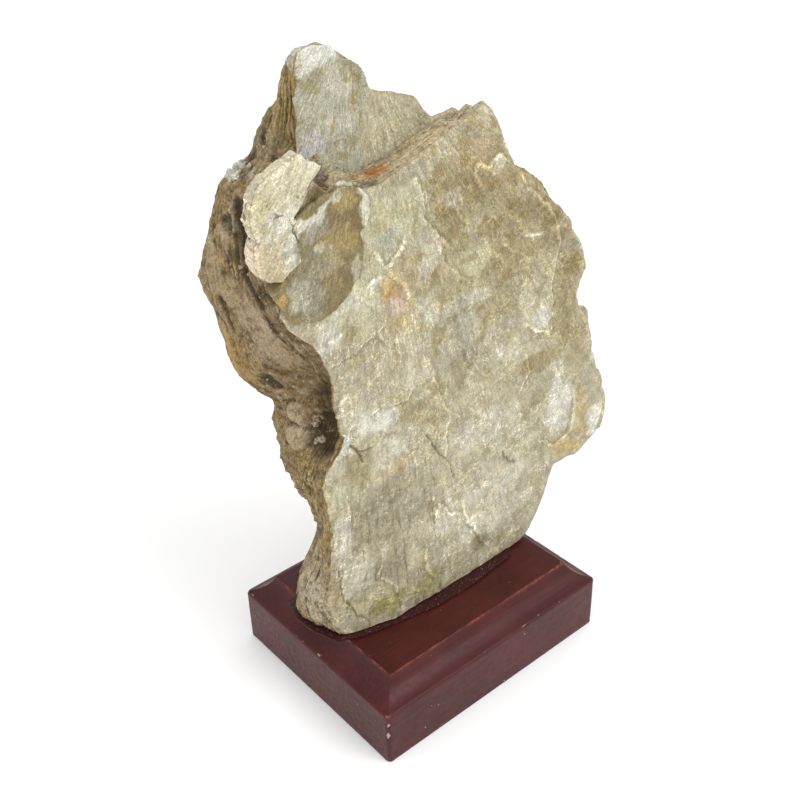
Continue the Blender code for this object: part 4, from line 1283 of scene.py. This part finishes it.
# Paints, as linear colours with alpha: those that multiply what lies under them, and those that cover
CLOUDED, STREAKED, CRACK_SHADE = (0.80, 0.73, 0.55, 1), (0.68, 0.62, 0.48, 1), (0.55, 0.48, 0.34, 1)
# Painted highlights: on flake rims together with the real pale wrinkles, and on the borders and steep parts
PALE_LINE_AND_GLINT, BORDER_GLINT = (2.0, 2.0, 2.1, 1), (1.9, 1.9, 2.0, 1)
PAGE_SHADE, PAGE_GLINT, EDGE_CLOUD = (0.42, 0.33, 0.22, 1), (1.5, 1.45, 1.3, 1), (0.55, 0.46, 0.31, 1)
MOTTLE_GLINT, MOTTLE_SHADE = (1.45, 1.42, 1.35, 1), (0.45, 0.36, 0.25, 1)
# Darker cracks; painted shade in the face's dips and in the torn edge's low spots
CRACK_DARK, FACE_DIP_SHADE, EDGE_LOW_SHADE = (0.11, 0.085, 0.045, 1), (0.15, 0.12, 0.065, 1), (0.060, 0.038, 0.020, 1)
# Painted shade in grooves, hollows and between pages; a painted highlight on raised spots; real pale grains
GROOVE_SHADE, RAISED_HIGHLIGHT, GRAIN = (0.050, 0.032, 0.016, 1), (0.50, 0.41, 0.27, 1), (0.62, 0.56, 0.44, 1)
WOOD_GRAIN, BARE_CHIP, DUST = (0.10, 0.022, 0.018, 1), (0.42, 0.30, 0.23, 1), (0.52, 0.45, 0.40, 1)
MICA_DUST, PAPER_LOW, PAPER_HIGH = (0.40, 0.33, 0.24, 1), (0.97, 0.97, 0.97, 1), (0.985, 0.985, 0.985, 1)
CLOUD_GAIN = 1.5  # how much lighter the lacquer's pale clouds are


class Wiring:
    """Places the nodes of one tree and joins them. A value given to a socket is linked where it is
    another socket, and set where it is a number or a colour."""

    def __init__(self, tree):
        self.tree = tree

    def fill(self, sockets, values):
        """Links or sets each socket by its name or number."""
        for name, value in values.items():
            if isinstance(value, bpy.types.NodeSocket):
                self.tree.links.new(value, sockets[name])
            else:
                sockets[name].default_value = value

    def add(self, kind, inputs=None, **settings):
        """A node with those settings and inputs."""
        node = self.tree.nodes.new(kind)
        for name, value in settings.items():
            setattr(node, name, value)
        self.fill(node.inputs, inputs or {})
        return node

    def math(self, operation, first, second=0.0, clamp=False):
        """One sum of two numbers."""
        inputs = {0: first, 1: second, 2: 0.0}
        return self.add("ShaderNodeMath", inputs, operation=operation, use_clamp=clamp).outputs[0]

    def chain(self, operation, first, *others):
        """One operation carried from the first value through all the others."""
        for other in others:
            first = self.math(operation, first, other)
        return first

    def times(self, *values):
        """The product of the values."""
        return self.chain("MULTIPLY", *values)

    def most(self, *values):
        """The largest of the values."""
        return self.chain("MAXIMUM", *values)

    def weighted(self, *pairs):
        """The sum of each value times its weight."""
        return self.chain("ADD", *(self.times(*pair) for pair in pairs))

    def mix(self, share, first, second, blend_type="MIX"):
        """The first colour, and the second in its place or multiplied into it by that share."""
        settings = {"data_type": "RGBA", "blend_type": blend_type, "clamp_factor": True}
        return self.add("ShaderNodeMix", {0: share, 6: first, 7: second}, **settings).outputs[2]

    def shaded(self, colour, *coats):
        """The colour multiplied by each coat's paint, as far as the coat's amount says."""
        for amount, paint in coats:
            colour = self.mix(amount, colour, self.mix(1.0, colour, paint, "MULTIPLY"))
        return colour

    def covered(self, colour, *coats):
        """The colour covered by each coat's paint, as far as the coat's amount says."""
        for amount, paint in coats:
            colour = self.mix(amount, colour, paint)
        return colour

    def scaled(self, colour, factor):
        """The colour times a number."""
        inputs = {0: colour, "Scale": factor}
        return self.add("ShaderNodeVectorMath", inputs, operation="SCALE").outputs[0]

    def spread(self, value, low, high, to_low=0.0, to_high=1.0):
        """The value's range low..high turned into another, eased at both ends."""
        inputs = {0: value, 1: low, 2: high, 3: to_low, 4: to_high}
        return self.add("ShaderNodeMapRange", inputs, interpolation_type="SMOOTHSTEP").outputs[0]

    def noise(self, vector, scale, detail=3.0, roughness=0.55, output="Fac"):
        """Smooth noise, so many cells to the millimetre."""
        inputs = {"Vector": vector, "Scale": scale, "Detail": detail, "Roughness": roughness}
        return self.add("ShaderNodeTexNoise", inputs).outputs[output]

    def stretch(self, vector, scale):
        """Each coordinate times its own factor."""
        return self.add("ShaderNodeMapping", {"Vector": vector, "Scale": scale}).outputs[0]

    def attribute(self, name, output="Fac"):
        """A value stored on the mesh."""
        return self.add("ShaderNodeAttribute", attribute_name=name).outputs[output]

    def place(self):
        """Object coordinates in millimetres."""
        return self.stretch(self.add("ShaderNodeTexCoord").outputs["Object"], (1 / MM,) * 3)

    def warped(self, vector, scale, reach):
        """The vector moved by coloured noise less its middle, times the reach."""
        colour = self.noise(vector, scale, 2.0, 0.5, "Color")
        centred = self.add("ShaderNodeVectorMath", {0: colour, 1: (0.5,) * 3}, operation="SUBTRACT")
        inputs = {0: centred.outputs[0], 1: (reach,) * 3, 2: vector}
        return self.add("ShaderNodeVectorMath", inputs, operation="MULTIPLY_ADD").outputs[0]

    def effect(self, name, vector, **values):
        """The outputs of a shared effect, placed with its own values."""
        node = self.add("ShaderNodeGroup", node_tree=effect_tree(name))
        self.fill(node.inputs, {"Vector": vector, **values})
        return node.outputs


def fill_specks(net, given):
    """Sparse specks: round dots at scattered cells, kept only where a cell's own number is high."""
    inputs = {"Vector": given["Vector"], "Scale": given["Scale"], "Randomness": 1.0}
    cell = net.add("ShaderNodeTexVoronoi", inputs, feature="F1").outputs
    colour = net.add("ShaderNodeSeparateColor", {0: cell["Color"]}).outputs
    chosen = net.math("LESS_THAN", colour[0], given["Share"])
    near = net.math("LESS_THAN", cell["Distance"], net.times(colour[1], given["Size"]))
    return {"Mask": net.times(chosen, near)}


def fill_contours(net, given):
    """Flakes as the treads between the contour lines of a noise field. Height is the stepped field,
    Rim a thin line along each riser, Tone a number of the tread."""
    level = net.times(net.noise(given["Vector"], given["Scale"], 5.0, 0.6), given["Steps"])
    whole, part = net.math("FLOOR", level), net.math("FRACT", level)
    start = net.math("SUBTRACT", 1.0, given["Riser"])
    half = net.math("SUBTRACT", 1.0, net.times(given["Riser"], 0.4))
    riser = net.spread(part, start, 1.0)
    return {
        "Height": net.math("DIVIDE", net.math("ADD", whole, riser), given["Steps"]),
        "Rim": net.times(net.spread(part, start, half), net.spread(part, 1.0, half)),
        "Tone": net.add("ShaderNodeTexWhiteNoise", {"W": whole}, noise_dimensions="1D").outputs["Value"],
    }


def fill_wrinkles(net, given):
    """Thin winding lines: where a noise field crosses its middle, in a band of that width."""
    away = net.math("SUBTRACT", net.noise(given["Vector"], given["Scale"], 4.0, 0.6), 0.5)
    return {"Line": net.spread(net.math("ABSOLUTE", away), given["Width"], 0.0)}


# Effects that materials share: what fills the group, its number inputs, its outputs
EFFECTS = {
    "Specks": (fill_specks, {"Scale": 1.0, "Size": 0.2, "Share": 0.1}, ("Mask",)),
    "Contour flakes": (fill_contours, {"Scale": 0.1, "Steps": 14.0, "Riser": 0.2},
                       ("Height", "Rim", "Tone")),
    "Wrinkles": (fill_wrinkles, {"Scale": 0.4, "Width": 0.03}, ("Line",)),
}


def effect_tree(name):
    """The node group of a shared effect, built once."""
    group = bpy.data.node_groups.get(name)
    if group:
        return group
    fill, numbers, outputs = EFFECTS[name]
    group = bpy.data.node_groups.new(name, "ShaderNodeTree")
    face = group.interface
    face.new_socket("Vector", in_out="INPUT", socket_type="NodeSocketVector").default_value = (0, 0, 0)
    for socket, default in numbers.items():
        face.new_socket(socket, in_out="INPUT", socket_type="NodeSocketFloat").default_value = default
    for socket in outputs:
        face.new_socket(socket, in_out="OUTPUT", socket_type="NodeSocketFloat")
    net = Wiring(group)
    given, out = net.add("NodeGroupInput").outputs, net.add("NodeGroupOutput").inputs
    net.fill(out, fill(net, given))
    return group


def new_material(name, build, *given):
    """A material filled by its own function, which says what goes into the shader's sockets. Height,
    strength and reach in millimetres become the bump that feeds the normal."""
    material = bpy.data.materials.new(name)
    material.use_nodes = True
    net = Wiring(material.node_tree)
    sockets = build(net, *given)
    if "bump" in sockets:
        height, strength, reach = sockets.pop("bump")
        inputs = {"Height": height, "Strength": strength, "Distance": reach * MM}
        sockets["Normal"] = net.add("ShaderNodeBump", inputs).outputs[0]
    net.fill(material.node_tree.nodes["Principled BSDF"].inputs, sockets)
    return material


def face_finish(net):
    """Pearly cleavage face: the tint, broken into flakes whose rims carry a painted highlight, winding
    pale wrinkles in two sizes, streaks along the grain, olive clouds, a painted highlight on the borders
    and steep parts, dark cracks with painted shade at the borders' feet, painted shade in dips, fine
    grain."""
    place, grained = net.place(), net.attribute("grain", "Vector")
    crumple, crack_and_foot_shade = net.attribute("crumple"), net.attribute("crack_and_foot_shade")
    along = net.warped(net.stretch(grained, (1.0, 0.42, 1.0)), 0.5, 1.3)
    loose = net.warped(net.stretch(grained, (1.0, 0.7, 1.0)), 0.7, 1.6)
    large = net.effect("Contour flakes", along, Scale=0.075, Steps=14.0, Riser=0.12)
    small = net.effect("Contour flakes", loose, Scale=0.22, Steps=10.0, Riser=0.2)
    streaks = net.noise(net.stretch(grained, (1.0, 0.09, 1.0)), 0.9, 6.0, 0.65)
    fine = net.noise(place, 1.6, 4.0, 0.85)
    patches = net.noise(net.warped(place, 0.2, 6.0), 0.15, 6.0, 0.68)
    tone = net.times(
        net.spread(large["Tone"], 0.0, 1.0, 0.82, 1.10), net.spread(small["Tone"], 0.0, 1.0, 0.86, 1.12),
        net.spread(streaks, 0.32, 0.68, 0.86, 1.12), net.spread(fine, 0.32, 0.68, 0.66, 1.30),
    )
    gate = net.spread(net.noise(place, 0.10, 4.0), 0.44, 0.60)
    fine_gate = net.spread(net.noise(place, 0.16, 3.0), 0.46, 0.60)
    winding = net.effect("Wrinkles", loose, Scale=0.19, Width=0.015)["Line"]
    dense = net.effect("Wrinkles", loose, Scale=0.55, Width=0.030)["Line"]
    # Flake rims, lightened as a painted highlight, and the real pale wrinkles
    lines = net.most(
        net.times(large["Rim"], net.spread(gate, 0.0, 1.0, 0.35, 1.0)),
        net.times(small["Rim"], net.spread(gate, 1.0, 0.0, 0.05, 0.35)),
        net.times(winding, net.spread(gate, 0.0, 1.0, 0.3, 1.0)),
        net.times(dense, fine_gate, net.spread(crumple, 0.0, 1.0, 0.2, 1.0)),
    )
    # A painted highlight along the borders' rims and the faces' steep parts
    borders = net.most(
        net.times(net.attribute("rim"), net.spread(fine, 0.35, 0.6, 0.5, 1.0)),
        net.times(net.attribute("ledge"), 0.3),
    )
    # The mask of cracks and feet darkens the cracks and paints shade at the borders' feet
    colour = net.shaded(
        net.scaled(net.attribute("tint", "Color"), tone),
        (net.times(net.spread(patches, 0.50, 0.60), net.spread(crumple, 0.0, 1.0, 0.45, 1.0)), CLOUDED),
        (net.times(net.spread(streaks, 0.46, 0.34), net.attribute("fibre")), STREAKED),
        (net.times(lines, 0.9), PALE_LINE_AND_GLINT), (borders, BORDER_GLINT), (crack_and_foot_shade, CRACK_SHADE),
    )
    # Darker cracks, and painted shade in the face's dips
    colour = net.covered(
        colour, (net.spread(crack_and_foot_shade, 0.75, 1.4), CRACK_DARK),
        (net.times(net.spread(net.attribute("low"), 0.15, 0.9), 0.5), FACE_DIP_SHADE),
    )
    rough = net.spread(large["Tone"], 0.0, 1.0, 0.34, 0.54)
    height = net.weighted(
        (large["Height"], 1.6), (small["Height"], 0.5), (lines, 0.08), (streaks, 0.22), (fine, 0.16),
    )
    return {"Base Color": colour, "Roughness": net.math("ADD", rough, net.times(lines, 0.1), clamp=True),
            "Coat Weight": 0.04, "Coat Roughness": 0.3, "IOR": 1.36, "bump": (height, 0.8, 0.4)}


def edge_finish(net):
    """Weathered book edge: the tint, uneven lines where the pages part clearly, clouds and grit
    elsewhere, painted shade in low spots, hollows, grooves and between pages, a painted highlight on
    raised spots, pale grains."""
    place, low = net.place(), net.attribute("low")
    rugged = net.math("SUBTRACT", 1.0, net.attribute("calm"))
    bent = net.warped(net.warped(place, 0.11, 2.6), 0.5, 1.1)
    pages = net.noise(net.stretch(bent, (0.16, 1.9, 0.16)), 1.0, 5.0, 0.7)
    clouds = net.noise(net.warped(place, 0.3, 3.0), 0.30, 5.0, 0.65)
    mottle = net.noise(net.warped(place, 0.8, 1.2), 0.75, 4.0, 0.7)
    grit = net.noise(place, 1.5, 5.0, 0.85)
    shown = net.times(net.spread(net.noise(place, 0.12, 3.0), 0.36, 0.56), net.attribute("paged"))
    uneven = net.math("ADD", net.times(rugged, 0.7), 0.3)
    colour = net.shaded(
        net.attribute("tint", "Color"),
        (net.times(net.spread(pages, 0.48, 0.34), shown), PAGE_SHADE),
        (net.times(net.spread(pages, 0.52, 0.64), shown), PAGE_GLINT),
        (net.times(net.spread(clouds, 0.50, 0.62), 0.75), EDGE_CLOUD),
        (net.times(rugged, net.spread(mottle, 0.52, 0.66), 0.8), MOTTLE_GLINT),
        (net.times(uneven, net.spread(mottle, 0.46, 0.34), 0.8), MOTTLE_SHADE),
    )
    grains = net.most(
        net.effect("Specks", place, Scale=0.9, Size=0.42, Share=0.12)["Mask"],
        net.effect("Specks", place, Scale=1.8, Size=0.4, Share=0.20)["Mask"],
    )
    grains = net.times(grains, net.spread(net.noise(place, 0.09, 2.0), 0.44, 0.62))
    # Painted shade in low spots and in grooves, hollows and between pages; a painted highlight on raised
    # spots
    colour = net.covered(
        net.scaled(colour, net.spread(grit, 0.30, 0.70, 0.55, 1.45)),
        (net.times(net.spread(low, 0.05, 0.8), 0.65), EDGE_LOW_SHADE),
        (net.times(net.spread(low, -0.1, -0.9), 0.35), RAISED_HIGHLIGHT),
        (net.times(net.attribute("groove"), 0.7), GROOVE_SHADE), (net.times(grains, 0.6), GRAIN),
    )
    height = net.weighted((net.times(pages, shown), 0.9), (grit, 0.6), (mottle, 1.2), (grains, 0.4))
    rough = net.spread(grit, 0.3, 0.7, 0.48, 0.72)
    return {"Base Color": colour, "Roughness": rough, "IOR": 1.32, "bump": (height, 0.8, 0.5)}


MICA_FINISHES = {"muscovite_face": face_finish, "muscovite_torn_edge": edge_finish}


def mica_materials():
    """The face's and the torn edge's materials, made once."""
    held = bpy.data.materials
    return [held.get(name) or new_material(name, build) for name, build in MICA_FINISHES.items()]


def lacquer_finish(net, settings):
    """Dark red lacquer: clouded colour, faint upright grain, rubbed through to red wood on the
    arrises, pale chips, dust specks, and a clear coat."""
    place = net.place()
    cloud = (*(part * CLOUD_GAIN for part in settings.lacquer), 1)
    clouds = net.spread(net.noise(place, 0.06, 4.0, 0.6), 0.35, 0.7)
    grain_lines = net.noise(net.stretch(place, (0.05, 1.6, 0.9)), 1.0, 5.0, 0.65)
    patchy = net.spread(net.noise(place, 0.8, 4.0, 0.6), 0.32, 0.58)
    rubbed = net.times(net.spread(net.attribute("wear"), 0.25, 0.85), patchy)
    dusty = net.most(
        net.effect("Specks", place, Scale=0.32, Size=0.10, Share=0.16)["Mask"],
        net.effect("Specks", place, Scale=0.9, Size=0.10, Share=0.10)["Mask"],
    )
    colour = net.covered(
        net.mix(clouds, (*settings.lacquer, 1), cloud),
        (net.times(net.spread(grain_lines, 0.4, 0.7), 0.35), WOOD_GRAIN), (rubbed, (*settings.worn, 1)),
        (net.spread(net.attribute("chip"), 0.25, 0.7), BARE_CHIP), (net.times(dusty, 0.65), DUST),
    )
    rough = net.spread(net.noise(place, 0.5, 4.0), 0.3, 0.7, 0.30, 0.46)
    height = net.weighted((grain_lines, 0.25), (dusty, 0.5))
    return {"Base Color": colour, "Roughness": net.math("ADD", rough, net.times(rubbed, 0.2), clamp=True),
            "Coat Weight": 0.03, "Coat Roughness": 0.25, "IOR": 1.3, "bump": (height, 0.35, 0.2)}


def glue_finish(net, settings):
    """Dark glue, speckled with grains of mica dust."""
    place = net.place()
    fleck = net.most(
        net.effect("Specks", place, Scale=1.6, Size=0.42, Share=0.30)["Mask"],
        net.effect("Specks", place, Scale=3.0, Size=0.4, Share=0.35)["Mask"],
    )
    colour = net.mix(net.times(fleck, 0.35), (*settings.glue, 1), MICA_DUST)
    height = net.math("ADD", net.noise(place, 1.2, 4.0), fleck)
    return {"Base Color": colour, "Roughness": 0.42, "IOR": 1.3, "bump": (height, 0.6, 0.3)}


def floor_finish(net):
    """Matt white paper, very slightly clouded."""
    colour = net.mix(net.noise(net.place(), 0.01, 3.0), PAPER_LOW, PAPER_HIGH)
    return {"Base Color": colour, "Roughness": 0.9}


# ---- Operators ----


FLOOR_HALF, FLOOR_Z = 1500.0, -0.02
LIT_POINT = np.array([0.0, 0.0, 0.11])  # the crystal's middle, in metres


class MICA_OT_stage(bpy.types.Operator):
    """Makes the camera, the lights, the pale surroundings and the floor"""

    bl_idname = "mica.stage"
    bl_label = "Stage"

    def execute(self, context):
        settings = context.scene.mica_stage
        make_camera(settings)
        make_lights(settings)
        floor = make_mesh("floor", *flat_square(FLOOR_HALF, FLOOR_Z))
        floor.data.materials.append(new_material("studio_floor", floor_finish))
        context.scene.view_settings.view_transform = "Standard"
        return {"FINISHED"}


def flat_square(half, height):
    """Corners and the one face of a level square."""
    corners = ((-half, -half), (half, -half), (half, half), (-half, half))
    return np.array([(*corner, height) for corner in corners]), np.array([[0, 1, 2, 3]])


def posed(name, data, across, up, back, place):
    """An object whose own axes are the three given ones, standing at the place."""
    matrix = Matrix(np.column_stack([across, up, back]).tolist()).to_4x4()
    matrix.translation = place
    thing = bpy.data.objects.new(name, data)
    thing.matrix_world = matrix
    bpy.context.scene.collection.objects.link(thing)
    return thing


def make_camera(settings):
    """Looks along the azimuth and down by the elevation, rolled about that line."""
    azimuth, elevation = settings.azimuth, settings.elevation
    level = math.cos(elevation)
    ahead = np.array([math.sin(azimuth) * level, math.cos(azimuth) * level, -math.sin(elevation)])
    right = np.cross(ahead, (0, 0, 1))
    right /= np.linalg.norm(right)
    up = np.cross(right, ahead)
    cos, sin = math.cos(settings.roll), math.sin(settings.roll)
    across = cos * right + sin * up
    upward = cos * up - sin * right
    data = bpy.data.cameras.new("camera")
    data.lens = settings.lens
    data.sensor_width = 36.0
    data.clip_start = 0.01
    camera = posed("camera", data, across, upward, -ahead, settings.place)
    bpy.context.scene.camera = camera


def make_lights(settings):
    """Two large soft lights turned to the crystal's middle, and an even white surround."""
    lights = (
        ("key_light", (0.25, -0.75, 0.85), 0.7, settings.key),
        ("fill_light", (-0.9, -0.35, 0.5), 0.8, settings.fill),
    )
    for name, place, size, power in lights:
        data = bpy.data.lights.new(name, "AREA")
        data.shape = "SQUARE"
        data.size = size
        data.energy = power
        back = np.array(place) - LIT_POINT
        back /= np.linalg.norm(back)
        right = np.cross((0, 0, 1), back)
        right /= np.linalg.norm(right)
        posed(name, data, right, np.cross(back, right), back, place)
    world = bpy.data.worlds.new("pale_surroundings")
    world.use_nodes = True
    background = world.node_tree.nodes["Background"]
    background.inputs["Color"].default_value = (1.0, 1.0, 1.0, 1.0)
    background.inputs["Strength"].default_value = settings.sky
    bpy.context.scene.world = world


class MICA_OT_books(bpy.types.Operator):
    """Makes the stacked books of sheets that the crystal's body is made of"""

    bl_idname = "mica.books"
    bl_label = "Books of sheets"

    def execute(self, context):
        settings = context.scene.mica_crystal
        for name, first, last, squares, faced in FACED_BOOKS:
            make_book(name, first, last, squares, faced, settings)
        for name, first, last, count in INNER_BOOKS:
            make_inner_book(name, first, last, count, settings)
        return {"FINISHED"}


class MICA_OT_plates(bpy.types.Operator):
    """Makes the plates that stand proud of the crystal's broad faces or past their edge"""

    bl_idname = "mica.plates"
    bl_label = "Loose plates"

    def execute(self, context):
        settings = context.scene.mica_crystal
        for row in LOOSE_PLATES:
            make_plate(*row, -1, settings)
        for row in BACK_PLATES:
            make_plate(*row, 1, settings)
        return {"FINISHED"}


class MICA_OT_chips(bpy.types.Operator):
    """Makes the chips and grains on the torn edge"""

    bl_idname = "mica.chips"
    bl_label = "Chips and grains"

    def execute(self, context):
        make_chips(context.scene.mica_crystal)
        return {"FINISHED"}


class MICA_OT_stand(bpy.types.Operator):
    """Makes the lacquered wooden stand with its hollow moulding"""

    bl_idname = "mica.stand"
    bl_label = "Stand"

    def execute(self, context):
        make_stand(context.scene.mica_stand)
        return {"FINISHED"}


class MICA_OT_glue(bpy.types.Operator):
    """Gives the film of glue under the crystal its finish"""

    bl_idname = "mica.glue"
    bl_label = "Glue"

    def execute(self, context):
        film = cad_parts["adhesive"]
        film.data.materials.clear()
        film.data.materials.append(new_material("dark_glue_film", glue_finish, context.scene.mica_stand))
        return {"FINISHED"}


class MICA_PT_panel(bpy.types.Panel):
    """Lists the pieces and their settings"""

    bl_idname = "MICA_PT_panel"
    bl_label = "Mica specimen"
    bl_space_type = "VIEW_3D"
    bl_region_type = "UI"
    bl_category = "Mica"

    def draw(self, context):
        column = self.layout.column()
        for operator in OPERATORS:
            column.operator(operator.bl_idname)
        for group in SETTINGS:
            settings = getattr(context.scene, group)
            for name in settings.__annotations__:
                column.prop(settings, name)


SETTINGS = {
    "mica_crystal": MicaCrystalSettings,
    "mica_stand": MicaStandSettings,
    "mica_stage": MicaStageSettings,
}
OPERATORS = (MICA_OT_stage, MICA_OT_stand, MICA_OT_glue, MICA_OT_books, MICA_OT_plates, MICA_OT_chips)


def register():
    """Makes the settings, operators and panel known to Blender."""
    for kind in (*SETTINGS.values(), *OPERATORS, MICA_PT_panel):
        bpy.utils.register_class(kind)
    for name, kind in SETTINGS.items():
        setattr(bpy.types.Scene, name, PointerProperty(type=kind))


def unregister():
    """Takes away what register made known."""
    for name in SETTINGS:
        delattr(bpy.types.Scene, name)
    for kind in reversed((*SETTINGS.values(), *OPERATORS, MICA_PT_panel)):
        bpy.utils.unregister_class(kind)


def main():
    """Builds every piece in order."""
    register()
    bpy.ops.mica.stage()
    bpy.ops.mica.stand()
    bpy.ops.mica.glue()
    bpy.ops.mica.books()
    bpy.ops.mica.plates()
    bpy.ops.mica.chips()


if __name__ == "__main__":
    main()
